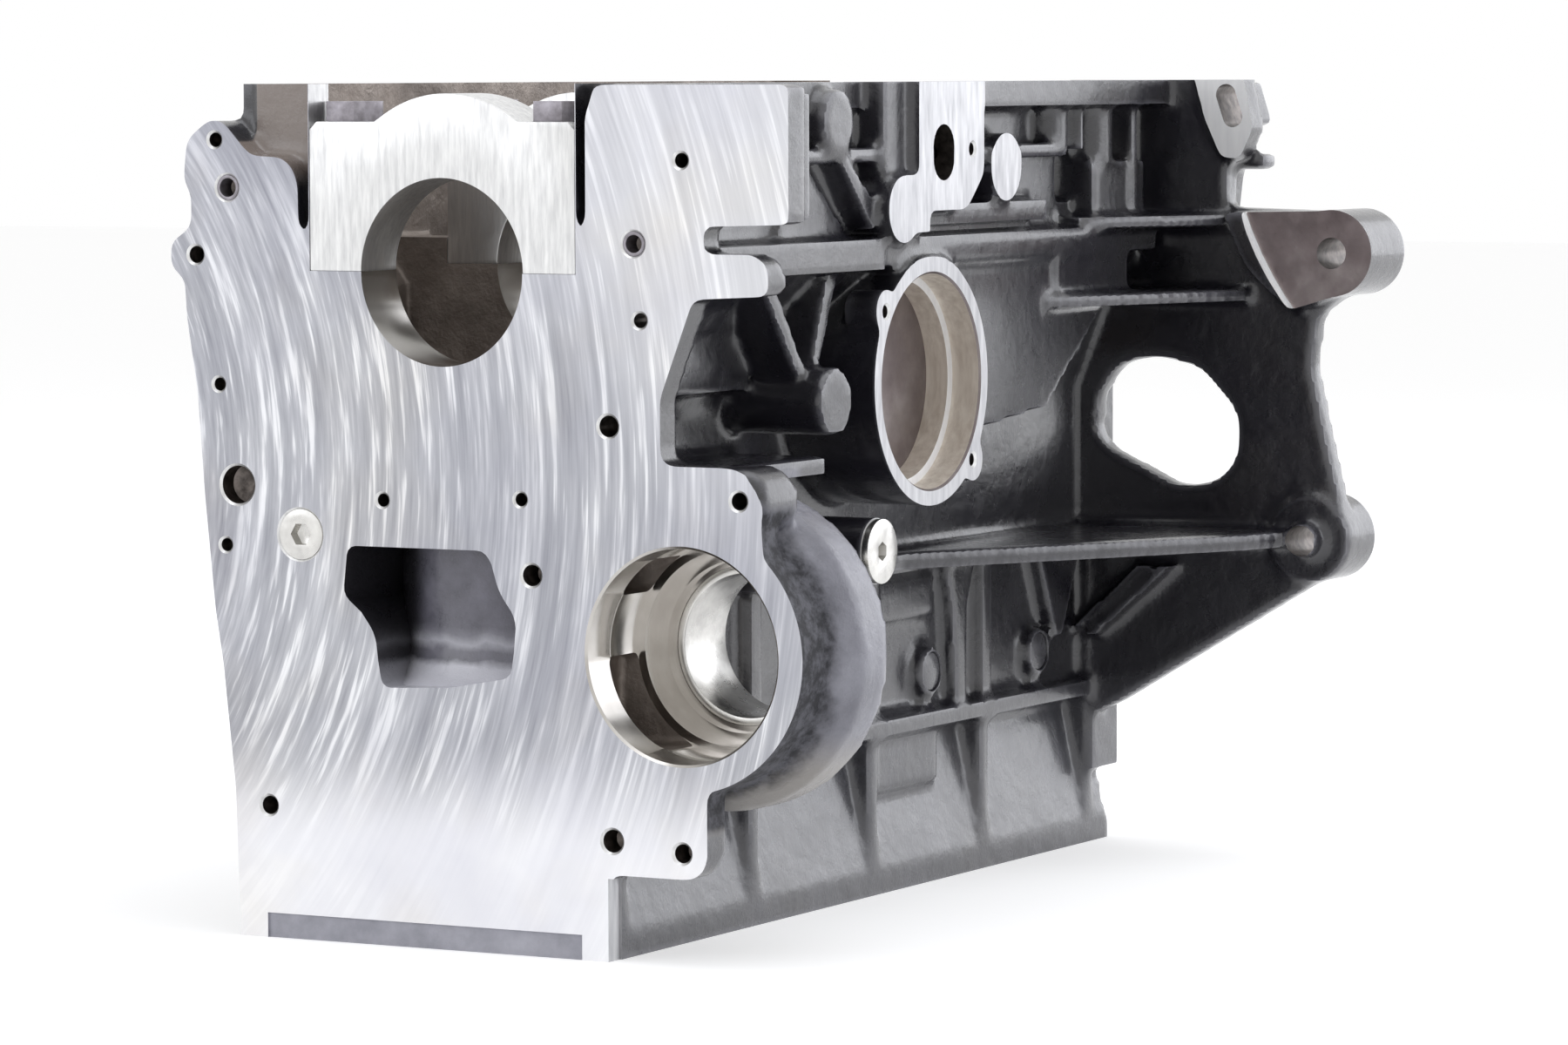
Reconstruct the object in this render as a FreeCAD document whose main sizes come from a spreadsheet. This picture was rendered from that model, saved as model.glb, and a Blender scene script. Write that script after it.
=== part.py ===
import FreeCAD, Part
import math
import os
import re

import Sketcher
from FreeCAD import Placement, Rotation, Vector

# Inline four-cylinder engine block, standing on its head deck with the oil-pan rail up.
# Frame: origin at the centre of the crankshaft bore on the front face,
# +X to the accessory side, +Y to the flywheel end, +Z towards the oil pan. Millimetres.

SIZES = {
    # crankshaft line
    "bearing_pitch": 99,
    "bearing_width": 25,
    "main_bore_radius": 35,
    "cap_half_width": 57.5,
    "cap_shoulder_height": 56,
    "cap_chamfer": 3,
    "cap_arch_foot": 33,
    "cap_arch_radius": 50,
    "cap_arch_rise": 19.5,
    "cap_side_gap": 0.2,
    "register_depth": 10,
    "bolt_spread": 45,
    "bolt_radius": 6,
    "bolt_hole_gap": 0.1,
    "bolt_head_flats": 21,
    "bolt_head_height": 7.5,
    "bolt_grip": 48,
    "oil_feed_radius": 3.5,
    # overall casting
    "rear_margin": 9,
    "deck_height": 253.5,
    "rail_height": 70,
    "plate_thickness": 14,
    "left_wall": 84,
    "right_wall": 66,
    "panel_depth": 59,
    "fin_width": 9,
    "deck_edge_left": 91,
    "deck_edge_right": 71,
    "deck_flange": 9.5,
    # cylinders and water jacket
    "cylinder_radius": 42,
    "barrel_wall": 5.5,
    "jacket_width": 7,
    "deck_roof": 12,
    "jacket_floor": 105,
    "head_bolt_radius": 5.5,
    "head_bolt_spread": 50,
    "head_bolt_depth": 60,
    "core_plug_radius": 7.5,
    "core_plug_height": 168,
    "core_plug_thickness": 3,
    "core_plug_sink": 0.6,
    "core_boss_wall": 2.5,
    "core_boss_height": 6,
    "ledge_drop": 15,
    "ledge_thickness": 8,
    # crankcase
    "crank_clearance": 76,
    "skirt_inside": 84,
    "skirt_outside": 94,
    "skirt_left": 97,
    "rail_thickness": 10,
    "rail_edge_left": 106,
    "rail_edge_front": 98,
    "rail_edge_right": 110,
    "pan_bolt_radius": 3,
    "pan_bolt_depth": 16,
    # accessory shaft housing on the front
    "accessory_x": 101.3,
    "accessory_z": 139.2,
    "accessory_land": 50.5,
    "accessory_shell": 60,
    "accessory_bore": 39.7,
    "accessory_step": 36.5,
    "accessory_drum_end": 50,
    "accessory_tail": 42,
    "accessory_length": 83,
    "bush_outside": 30,
    "bush_wall": 3,
    "bush_start": 51,
    # round side port
    "port_y": 185.5,
    "port_z": 46.5,
    "port_face": 110,
    "port_rim": 48.5,
    "port_bore": 42,
    "port_step": 37,
    "port_bore_depth": 12,
    "port_depth": 18,
    # flywheel flange
    "flange_thickness": 25,
    "flange_web": 11,
    "upper_lug_x": 188,
    "upper_lug_z": 1.5,
    "lower_lug_x": 175.2,
    "lower_lug_z": 120.8,
    "lug_radius": 18,
    "lug_hole_radius": 6.5,
    "spot_face_depth": 2.5,
    "seal_radius": 50,
    "seal_depth": 9,
}

doc = FreeCAD.newDocument("engine_block")
sheet = doc.addObject("Spreadsheet::Sheet", "Sizes")
for row, (alias, value) in enumerate(SIZES.items(), start=1):
    sheet.set("A%d" % row, alias)
    sheet.set("B%d" % row, str(value))
    sheet.setAlias("B%d" % row, alias)
doc.recompute()

WORD = re.compile(r"[a-z_]{3,}")


def bound(text):
    """The expression with every size name pointing at its sheet cell."""
    return WORD.sub(lambda m: "Sizes." + m.group(0) if m.group(0) in SIZES else m.group(0), str(text))


def amount(text):
    """The number that an expression of sheet sizes comes to now."""
    return float(sheet.evalExpression(bound(text)))


def label(kind, name):
    thing = doc.addObject(kind, name)
    thing.Label = name
    return thing


# ---------------------------------------------------------------- shape helpers

def box(name, x, y, z):
    """A box between two faces along each axis, each face an expression."""
    solid = label("Part::Box", name)
    for size, axis, (low, high) in zip(("Length", "Width", "Height"), "xyz", (x, y, z)):
        solid.setExpression(size, bound("(%s) - (%s)" % (high, low)))
        solid.setExpression("Placement.Base." + axis, bound(low))
    return solid


TURNS = {
    "x": Rotation(Vector(0, 1, 0), 90),
    "y": Rotation(Vector(1, 0, 0), -90),
    "z": Rotation(),
}


def rod(name, axis, radius, centre, span):
    """A cylinder along an axis: its centre on the other two axes, and where it starts and ends."""
    solid = label("Part::Cylinder", name)
    solid.Placement = Placement(Vector(), TURNS[axis])
    solid.setExpression("Radius", bound(radius))
    solid.setExpression("Height", bound("(%s) - (%s)" % (span[1], span[0])))
    others = [a for a in "xyz" if a != axis]
    solid.setExpression("Placement.Base." + axis, bound(span[0]))
    for other, place in zip(others, centre):
        solid.setExpression("Placement.Base." + other, bound(place))
    return solid


def taper(name, axis, radii, centre, span):
    """A cone frustum along an axis."""
    solid = label("Part::Cone", name)
    solid.Placement = Placement(Vector(), TURNS[axis])
    solid.setExpression("Radius1", bound(radii[0]))
    solid.setExpression("Radius2", bound(radii[1]))
    solid.setExpression("Height", bound("(%s) - (%s)" % (span[1], span[0])))
    others = [a for a in "xyz" if a != axis]
    solid.setExpression("Placement.Base." + axis, bound(span[0]))
    for other, place in zip(others, centre):
        solid.setExpression("Placement.Base." + other, bound(place))
    return solid


# sketch plane: its turn from XY, the axis it is pushed along, and that axis's direction
PLANES = {
    "xz": (Rotation(Vector(1, 0, 0), 90), "y", Vector(0, 1, 0)),
    "yz": (Rotation(Vector(1, 1, 1), 120), "x", Vector(1, 0, 0)),
    "xy": (Rotation(), "z", Vector(0, 0, 1)),
}


def prism(name, plane, corners, span):
    """A closed outline pushed along the axis across its plane.

    A corner is (first, second) or (first, second, fillet radius), each an expression."""
    turn, axis, direction = PLANES[plane]
    sketch = label("Sketcher::SketchObject", name + "_outline")
    sketch.Placement = Placement(Vector(), turn)
    sketch.setExpression("Placement.Base." + axis, bound(span[0]))
    spots = [Vector(amount(c[0]), amount(c[1]), 0) for c in corners]
    count = len(corners)
    sketch.addGeometry([Part.LineSegment(spots[i], spots[(i + 1) % count]) for i in range(count)])
    ends = [Sketcher.Constraint("Coincident", i, 2, (i + 1) % count, 1) for i in range(count)]
    sketch.addConstraint(ends)
    for i, corner in enumerate(corners):
        for kind, size, value in (("DistanceX", corner[0], spots[i].x), ("DistanceY", corner[1], spots[i].y)):
            place = sketch.addConstraint(Sketcher.Constraint(kind, -1, 1, i, 1, value))
            sketch.setExpression("Constraints[%d]" % place, bound(size))
    block = label("Part::Extrusion", name)
    block.Base = sketch
    block.DirMode = "Custom"
    block.Dir = direction
    block.Solid = True
    block.setExpression("LengthFwd", bound("(%s) - (%s)" % (span[1], span[0])))
    rounds = [(spots[i], corner[2]) for i, corner in enumerate(corners) if len(corner) > 2]
    if not rounds:
        return block
    doc.recompute()
    edges = []
    for number, edge in enumerate(block.Shape.Edges, start=1):
        ends = [sketch.Placement.inverse().multVec(v.Point) for v in edge.Vertexes]
        if abs(ends[0].z - ends[-1].z) < 0.01:
            continue
        for spot, radius in rounds:
            if math.hypot(ends[0].x - spot.x, ends[0].y - spot.y) < 0.01:
                edges.append((number, amount(radius), amount(radius)))
    soft = label("Part::Fillet", name + "_rounded")
    soft.Base = block
    soft.Edges = edges
    return soft


def fuse(name, pieces):
    joined = label("Part::MultiFuse", name)
    joined.Shapes = pieces
    joined.Refine = True
    return joined


def cut(name, body, tools):
    if len(tools) > 1:
        tool = label("Part::Compound", name + "_tools")
        tool.Links = tools
    else:
        tool = tools[0]
    trimmed = label("Part::Cut", name)
    trimmed.Base = body
    trimmed.Tool = tool
    trimmed.Refine = True
    return trimmed


BEARINGS = 5
CYLINDERS = 4
PAN_BOLTS = 5
LENGTH = "(bearing_pitch * %d + bearing_width + rear_margin)" % (BEARINGS - 1)
LEDGE_TOP = "-(core_plug_height + ledge_drop)"


def bearing_start(number):
    return "bearing_pitch * %d" % number


def bearing_end(number):
    return "bearing_pitch * %d + bearing_width" % number


def bearing_middle(number):
    return "bearing_pitch * %d + bearing_width / 2" % number


def cylinder_middle(number):
    return "bearing_pitch * (%d + 0.5) + bearing_width / 2" % number


# ---------------------------------------------------------------- engine block casting

def front_plate():
    """The timing-side plate, with its notch for the front bearing cap."""
    outline = [
        ("-deck_edge_left", "-deck_height"),
        (-93, -197), (-98, -150), (-101.4, -129), (-105.7, -86), (-108.6, -46), (-113, -19, 12),
        (-114, -4, 4), (-120, 1, 4), (-120, 10, 4), (-110.7, 16, 5),
        (-110.7, 28, 5), (-114, 34, 4), (-112.5, 49, 9), (-99, 59, 8), (-84, 43, 8),
        (-66.3, 42.4, 10), (-63.2, 33), (-63, 18, 3), ("-cap_half_width - cap_side_gap", 11),
        ("-cap_half_width - cap_side_gap", 0), ("cap_half_width + cap_side_gap", 0),
        ("cap_half_width + cap_side_gap", 11), (62, 20), (62, 57, 3), (66, "rail_height - 0.5", 3),
        (146.5, "rail_height - 0.5"), (146.5, 19, 1.5), (111.5, 18), (111.5, 8), (132, 8, 4),
        (138, 4, 4), (138, -7, 2.5), (107, -8.5, 3), (93, -45, 3), (93, -69.5, 5),
        (125, -69.5, 9), (134.5, -84, 6), (136, -106),
        ("accessory_x + 7", "-accessory_z - 40"),
        (112, -189), (112, -221, 9), ("deck_edge_right", -221), ("deck_edge_right", "-deck_height"),
    ]
    plate = prism("front_plate", "xz", outline, (0, "plate_thickness"))
    land = rod("accessory_land_ring", "y", "accessory_land",
               ("accessory_x", "-accessory_z"), (0, "plate_thickness + 3"))
    lug = rod("front_lug", "y", 13, (124, -82.5), (1, 26))
    web = box("front_lug_web", (70, 124), (1, 26), (-95.5, -70.5))
    return [plate, land, lug, web]


def cylinder_section():
    """The walls round the barrels, drafted below the ledge, with the head flange at the foot."""
    outline = [
        ("-left_wall", -80), ("-left_wall", "-deck_height"), ("deck_edge_right", "-deck_height"),
        ("deck_edge_right", "-deck_height + deck_flange"), ("panel_depth", LEDGE_TOP + " - 5"),
        ("right_wall", LEDGE_TOP + " - 3"),
        ("right_wall", -80),
    ]
    body = prism("cylinder_walls", "xz", outline, (6, LENGTH + " - 4"))
    flange = box("head_flange", ("-deck_edge_left", "deck_edge_right"), (1, LENGTH + " - 1"),
                 ("-deck_height", "-deck_height + deck_flange"))
    return [body, flange]


def crankcase():
    """The skirt walls from the cylinders up to the oil-pan rail."""
    outline = [
        ("-left_wall", -130), ("right_wall", -130), ("right_wall", -58, 12),
        ("skirt_outside - 10", -14, 10), ("skirt_outside", -4), ("skirt_outside", "rail_height"),
        ("-skirt_left", "rail_height"), ("-skirt_left", 0), ("-skirt_left + 4", -60, 30),
    ]
    body = prism("crankcase_walls", "xz", outline, ("plate_thickness", LENGTH + " - 2"))
    left = box("pan_rail_left", ("-rail_edge_left", "-skirt_left + 2"), (34, LENGTH + " - 10"),
               ("rail_height - rail_thickness", "rail_height"))
    right = box("pan_rail_right", ("skirt_outside - 2", "rail_edge_right"), (171, LENGTH + " - 10"),
                ("rail_height - rail_thickness", "rail_height"))
    front = box("pan_rail_right_front", ("skirt_outside - 2", "rail_edge_front"), (8, 180),
                ("rail_height - rail_thickness", "rail_height"))
    return [body, left, right, front]


def side_ribs():
    """The ledge, ribs, bosses and gallery on the accessory side below the crankcase."""
    pieces = [
        box("lower_ledge", (60, "right_wall + 8"), (40, LENGTH + " - 6"),
            (LEDGE_TOP + " - ledge_thickness", LEDGE_TOP)),
        box("lower_pad", (60, "right_wall + 2.5"), (215, 272), (LEDGE_TOP + " - 30", LEDGE_TOP + " - 9")),
        box("gallery_pad", (60, "right_wall + 3"), (215, 268), (-145, -130)),
    ]
    for number in range(1, BEARINGS):
        across = (bearing_middle(number) + " - fin_width / 2", bearing_middle(number) + " + fin_width / 2")
        pieces.append(box("panel_fin_%d" % number, ("panel_depth - 3", "deck_edge_right"), across,
                          ("-deck_height + deck_flange - 1", LEDGE_TOP + " - 3")))
        pieces.append(box("wall_fin_%d" % number, (60, "right_wall + 6"), across,
                          (LEDGE_TOP + " - 3", -118)))
    for number in range(CYLINDERS):
        middle = cylinder_middle(number)
        pieces.append(rod("core_plug_boss_%d" % number, "x", "core_plug_radius + core_boss_wall",
                          (middle, "-core_plug_height"), (60, "right_wall + core_boss_height")))
        pieces.append(box("core_plug_stem_%d" % number, (60, "right_wall + 4"),
                          (middle + " - 5", middle + " + 3"), (LEDGE_TOP + " - 3", "-core_plug_height")))
    pillar = prism("head_bolt_pillar", "yz",
                   [(270, -122), (300, -122), (291, -144, 12), (290, LEDGE_TOP + " - 3"),
                    (280, LEDGE_TOP + " - 3"), (277, -144, 12)],
                   (60, "right_wall + 7"))
    spear = prism("flange_spear", "yz", [(352, -122), (397, -122), (377, -163), (371, -163)],
                  (60, "right_wall + 8"))
    gusset = prism("gallery_shelf", "xy",
                   [(60, 100), (78, 100), (78, 222), (160, 372), (172, LENGTH + " - 20"),
                    (60, LENGTH + " - 20")], (-124, -117))
    front = LENGTH + " - flange_thickness"
    ribs = [prism("flange_rib_%d" % number, "xz",
                  [(64 + start, -164), (69 + start, -164), (104 + start, -134), (98 + start, -134)],
                  (front + " - 7", front + " + 1")) for number, start in enumerate((0, 10))]
    gallery = rod("gallery_boss", "x", 13, (149, -110.5), (60, 104))
    return pieces + ribs + [pillar, spear, gusset, gallery]


def left_side_ribs():
    """The stiffening ribs of the far side, one at each bearing web, and the rail that ties them."""
    outside = "-left_wall - 6"
    ribs = [box("left_rib_%d" % number, (outside, "-left_wall + 2"),
                (bearing_middle(number) + " - fin_width / 2", bearing_middle(number) + " + fin_width / 2"),
                ("-deck_height + deck_flange - 1", -62)) for number in range(1, BEARINGS)]
    tie = box("left_tie", (outside, "-left_wall + 2"), ("plate_thickness - 1", LENGTH + " - 16"),
              (-152, -144))
    return ribs + [tie]


def pocket_bosses():
    """The horizontal boss and the rib frame behind the front plate."""
    return [
        rod("blank_boss", "x", 13, (106, -50.5), (60, 110)),
        box("boss_ledge", (60, 106), (20, 104), (-78, -71)),
        prism("frame_bar", "yz", [(12, -2), (150, -2), (150, 10), (12, 10)], (70, 108)),
        prism("frame_strut_front", "yz", [(62, 0), (72, 0), (104, -44), (96, -44)], (80, 100)),
        prism("frame_strut_rear", "yz", [(118, 0), (128, 0), (108, -44), (102, -44)], (80, 100)),
        prism("brace", "yz", [(106, 52), (118, 45), (152, 20), (144, 13)], (80, 106)),
        prism("brace_plate", "yz", [(98, 42), (104, 40), (142, 8), (78, 8)], (80, 98)),
        rod("corner_boss", "x", 12.5, (115.5, 55), (80, 107)),
        box("corner_post", (80, 107), (151, 172), (33, "rail_height")),
        box("plate_backing", (90, 134), (8, 40), (20, 66)),
    ]


def side_port():
    """The round housing in the crankcase side, its rim and two ears."""
    centre = ("port_y", "-port_z")
    return [
        rod("port_housing", "x", "port_rim", centre, (60, "port_face")),
        rod("port_ear_upper", "x", 8.5, (147, -18), (95, "port_face")),
        rod("port_ear_lower", "x", 8.5, (221, -79), (95, "port_face")),
        prism("port_flare", "yz", [(185, 0), (330, -2), (352, -24), (300, -62), (240, -68), (185, -80)],
              (60, "port_face - 6")),
    ]


def mounting_pads():
    """The machined pads, shelf and ridge above the side port."""
    return [
        prism("slotted_pad", "yz", [(171, 20), (212, 20, 12), (227, 34, 8), (227, "rail_height"),
                                    (171, "rail_height")], (80, 112)),
        rod("slotted_pad_toe", "x", 13, (158.5, 21), (80, 112)),
        box("slotted_pad_neck", (80, 112), (158.5, 180), (12, 34)),
        rod("round_pad", "x", 13.5, (257, 36), (80, 107)),
        box("shelf", (80, 104), (177, 300), (14, 22)),
        box("ridge", (80, 107), (145, 400), (-1, 10)),
        box("rail_backing", (80, 105), (342, 392), (8, 37)),
        box("rail_rib_front", (80, 106), (327, 331), (42, 62)),
        box("rail_rib_rear", (80, 107), (376, 381), (10, 62)),
        rod("rail_boss_front", "z", 10, (95.5, 314), (43, 62)),
        rod("rail_boss_rear", "z", 11, (95.5, 354), (36, 62)),
        prism("lower_shelf", "xy", [(70, 298), (106, 298), (150, LENGTH + " - 20"),
                                    (70, LENGTH + " - 20")], (-22, -17)),
        prism("upper_shelf", "xy", [(80, 330), (104, 330), (142, LENGTH + " - 20"),
                                    (80, LENGTH + " - 20")], (9, 14)),
        box("shelf_box", (80, 106), (306, 372), (-15, -4)),
    ]


def flywheel_flange():
    """The bell-housing flange: a thin web out to the lugs, full thickness near the block."""
    web_outline = [
        (0, "rail_height"), (144, "rail_height"), (149, 50, 5), (143, 37, 3), (136, 35), (136, 17, 3),
        ("upper_lug_x", "-upper_lug_z + lug_radius - 1"), ("upper_lug_x + 8", -14),
        (177, -28, 10), (175, -50, 20), (181, -77), (189, -110),
        ("lower_lug_x + 8", -135), (86, -193), ("deck_edge_right", -200), (0, -200),
    ]
    rim_outline = [
        (0, "rail_height"), (124, "rail_height"), (134, 42, 6), (131, 15), (112, -20, 20),
        (72, -50, 20), (72, -100), (100, -130), (74, -190), (74, -222), (0, -222),
    ]
    far_outline = [
        (0, "rail_height"), (-120, "rail_height"), (-136, 40, 10), (-172, 12, 14), (-176, -12, 14),
        (-150, -60, 30), (-160, -128, 14), (-150, -140, 12), (-91, -200), (0, -223),
    ]
    front = LENGTH + " - flange_thickness"
    web = prism("flange_web_plate", "xz", web_outline, (front, front + " + flange_web"))
    rim = prism("flange_rim", "xz", rim_outline, (front, LENGTH))
    far = prism("flange_far", "xz", far_outline, (front + " + 8", LENGTH))
    lug_upper = rod("upper_lug", "y", "lug_radius", ("upper_lug_x", "-upper_lug_z"),
                    (front + " - 10", LENGTH))
    lug_lower = rod("lower_lug", "y", "lug_radius", ("lower_lug_x", "-lower_lug_z"),
                    (front + " - 3", LENGTH))
    neck = prism("upper_lug_neck", "xz",
                 [(140, 15), ("upper_lug_x", "-upper_lug_z + lug_radius - 0.5"),
                  ("upper_lug_x + 4", "-upper_lug_z - lug_radius + 1"), (170, -25), (150, -8, 40)],
                 (front + " - 10 - spot_face_depth", front + " + 2"))
    pad = prism("corner_pad", "xz", [(122, "rail_height"), (144, "rail_height"), (149, 50, 5),
                                     (143, 37, 3), (135, 39), (128, 54, 40)],
                (front + " - 2", front + " + 2"))
    tab = box("flange_tab", (122, 149), (LENGTH + " - 14", LENGTH + " - 2"), (32.5, 39))
    return [web, rim, far, lug_upper, lug_lower, neck, pad, tab]


def accessory_housing():
    """The drum-shaped housing of the accessory shaft behind the front plate."""
    centre = ("accessory_x", "-accessory_z")
    return [
        taper("housing_shoulder", "y", ("accessory_land - 1", "accessory_shell"), centre, (16, 30)),
        rod("housing_drum", "y", "accessory_shell", centre, (30, "accessory_drum_end")),
        taper("housing_tail", "y", ("accessory_shell - 8", "accessory_tail"), centre,
              ("accessory_drum_end - 1", "accessory_length")),
        box("housing_web", (50, "accessory_x"), (2, "accessory_length"), (-176, -104)),
    ]


def crank_bays():
    """The open bays between the bearings, and the trough above the cap registers."""
    tools = []
    sweep = [
        ("-crank_clearance", 1), ("-crank_clearance", "-crank_clearance / 2"),
        ("-cylinder_radius - 4", "-crank_clearance"), ("cylinder_radius + 4", "-crank_clearance"),
        ("crank_clearance", "-crank_clearance / 2"), ("crank_clearance", 1),
    ]
    for number in range(CYLINDERS):
        bay = (bearing_end(number), bearing_start(number + 1))
        tools.append(prism("crank_sweep_%d" % number, "xz", sweep, bay))
        tools.append(box("bay_top_%d" % number, ("-skirt_inside", "skirt_inside"), bay,
                         (0, "rail_height + 1")))
    tools.append(box("trough", ("-skirt_inside", "skirt_inside"),
                     ("plate_thickness", LENGTH + " - 12"),
                     ("register_depth", "rail_height + 1")))
    half = "cap_half_width + cap_side_gap"
    tools.append(box("register", ("-(%s)" % half, half), (-1, LENGTH + " + 1"),
                     (0, "rail_height + 1")))
    tools.append(rod("main_bore", "y", "main_bore_radius", (0, 0), (-1, LENGTH + " + 1")))
    tools.append(rod("rear_seal_recess", "y", "seal_radius", (0, 0),
                     (LENGTH + " - seal_depth", LENGTH + " + 1")))
    return tools


def cylinder_bores():
    return [rod("cylinder_bore_%d" % number, "z", "cylinder_radius", (0, cylinder_middle(number)),
                ("-deck_height - 1", 0)) for number in range(CYLINDERS)]


def water_jacket():
    """The coolant space round the four barrels, left standing in it."""
    outer = []
    barrels = []
    for number in range(CYLINDERS):
        middle = cylinder_middle(number)
        span = ("-deck_height + deck_roof", "-jacket_floor")
        core = label("Part::Prism", "jacket_%d" % number)
        core.Polygon = 8
        core.Placement = Placement(Vector(), Rotation(Vector(0, 0, 1), 22.5))
        core.setExpression("Circumradius",
                           bound("(cylinder_radius + barrel_wall + jacket_width) / cos(22.5 deg)"))
        core.setExpression("Height", bound("(%s) - (%s)" % (span[1], span[0])))
        core.setExpression("Placement.Base.y", bound(middle))
        core.setExpression("Placement.Base.z", bound(span[0]))
        outer.append(core)
        barrels.append(rod("barrel_%d" % number, "z", "cylinder_radius + barrel_wall", (0, middle),
                           ("-deck_height + deck_roof - 1", "-jacket_floor + 1")))
    return cut("water_jacket", fuse("jacket_space", outer), barrels)


def front_window():
    """The cast opening in the front plate that leads round the first barrel."""
    outline = [
        (-39, -103.2, 4), (16, -103.2, 4), (20, -108, 3), (23, -118), (31, -128, 3), (30.5, -140),
        (29, -149.5, 3), (2, -154.5), (-26.5, -155.8, 4), (-28.5, -146), (-30, -136, 4),
        (-36, -128, 3), (-43.8, -121.5, 2), (-43.8, -104, 4),
    ]
    room = prism("window_room", "xz", outline, (-1, 44))
    barrel = rod("window_barrel", "z", "cylinder_radius + barrel_wall", (0, cylinder_middle(0)),
                 (-160, -100))
    return cut("window_cavity", room, [barrel])


def accessory_bores():
    centre = ("accessory_x", "-accessory_z")
    ports = box("accessory_port_upper", (60, "accessory_x - 22"), (16, 38), (-119, -104))
    lower = box("accessory_port_lower", (56, "accessory_x - 10"), (16, 38), (-176, -142))
    return [
        rod("accessory_mouth", "y", "accessory_bore", centre, (-1, 38)),
        rod("accessory_seat", "y", "accessory_step", centre, (37, 48)),
        rod("accessory_seat_step", "y", "accessory_step - 4", centre, (47, "bush_start")),
        rod("accessory_bearing", "y", "bush_outside", centre, ("bush_start - 1", "accessory_length + 1")),
        ports, lower,
    ]


def side_recesses():
    """The bores and slots on the accessory side."""
    centre = ("port_y", "-port_z")
    return [
        rod("port_mouth", "x", "port_bore", centre, ("port_face - port_bore_depth", "port_face + 1")),
        rod("port_seat", "x", "port_step", centre, ("port_face - port_depth", "port_face")),
        prism("pad_slot", "yz", [(183, 32, 8.5), (201, 32, 8.5), (201, 53, 8.5), (183, 53, 8.5)],
              (86, 114)),
        rod("pad_hole", "x", 2.5, (217, 43.5), (98, 114)),
        rod("ear_hole_upper", "x", 2.5, (147, -18), ("port_face - 14", "port_face + 1")),
        rod("ear_hole_lower", "x", 2.5, (221, -79), ("port_face - 14", "port_face + 1")),
        rod("gallery_drilling", "x", 8, (149, -110.5), (92, 107)),
        rod("small_drain", "x", 2, (398, -163), ("right_wall - 8", "right_wall + 20")),
        box("rail_opening", ("skirt_inside + 3", 112), (328, 342), (21, 42)),
    ]


def flange_cuts():
    """The openings in the flange, the upper lug's spot face and the lug holes."""
    slot = prism("flange_slot", "xz",
                 [(77, -63, 5), (86, -49, 16), (104, -46, 20), (124, -50, 22), (142, -70, 20),
                  (140, -96, 18), (115, -101, 22), (75, -82, 12)],
                 (LENGTH + " - 60", LENGTH + " + 1"))
    foundry_band = box("foundry_band", ("-deck_edge_left + 12", "deck_edge_right - 12"), (-1, 1),
                       ("-deck_height - 1", "-deck_height + deck_flange"))
    front = LENGTH + " - flange_thickness"
    spot_face = prism("spot_face", "xz",
                      [(149, 18), (212, 26), (212, -30), (176, -30), (171, -21), (157, -5, 40)],
                      (front + " - 30", front + " - 10"))
    oblong = prism("oblong_hole", "xz",
                   [(132, 65.5, 3.8), (139.3, 68.2, 3.8), (144.5, 53, 3.8), (137.2, 50.3, 3.8)],
                   (front + " - 3", LENGTH + " + 1"))
    return [
        slot,
        foundry_band,
        spot_face,
        oblong,
        rod("upper_lug_hole", "y", "lug_hole_radius", ("upper_lug_x", "-upper_lug_z"),
            (LENGTH + " - 40", LENGTH + " + 1")),
        rod("lower_lug_hole", "y", "lug_hole_radius", ("lower_lug_x", "-lower_lug_z"),
            (LENGTH + " - 40", LENGTH + " + 1")),
    ]


# centre X, centre Z, radius and depth of each hole in the front face
FRONT_HOLES = {
    "cover_bolt_upper": (-100, 49, 2.75, 20),
    "cover_dowel_left": (-94.5, 31, 4.75, 10),
    "cover_bolt_ear": (-109, 5.5, 3.25, 13),
    "cover_bolt_left": (-99, -43.5, 2.5, 13),
    "oil_passage": (-91, -81.5, 7.25, 12),
    "cover_bolt_low_left": (-96.5, -104.5, 2.5, 13),
    "gallery_mouth": (-63, -99.5, 9.5, 8),
    "window_bolt_left": (-26.5, -85.5, 2.5, 16),
    "window_bolt_right": (33.5, -83.5, 2.5, 16),
    "window_bolt_low": (38, -111.5, 4, 14),
    "cover_bolt_middle": (71, -55.5, 4, 20),
    "cover_bolt_right": (84.5, -16.5, 2.75, 20),
    "cover_dowel_right": (82, 11.5, 4.5, 10),
    "cover_bolt_top_right": (102, 42, 2.75, 20),
    "accessory_bolt_upper": (125.5, -81.5, 3.25, 22),
    "cover_bolt_foot_left": (-78, -203, 3.5, 13),
    "accessory_bolt_lower": (72, -208.5, 4.25, 13),
    "accessory_bolt_foot": (101.5, -211.5, 3.5, 13),
}


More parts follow.
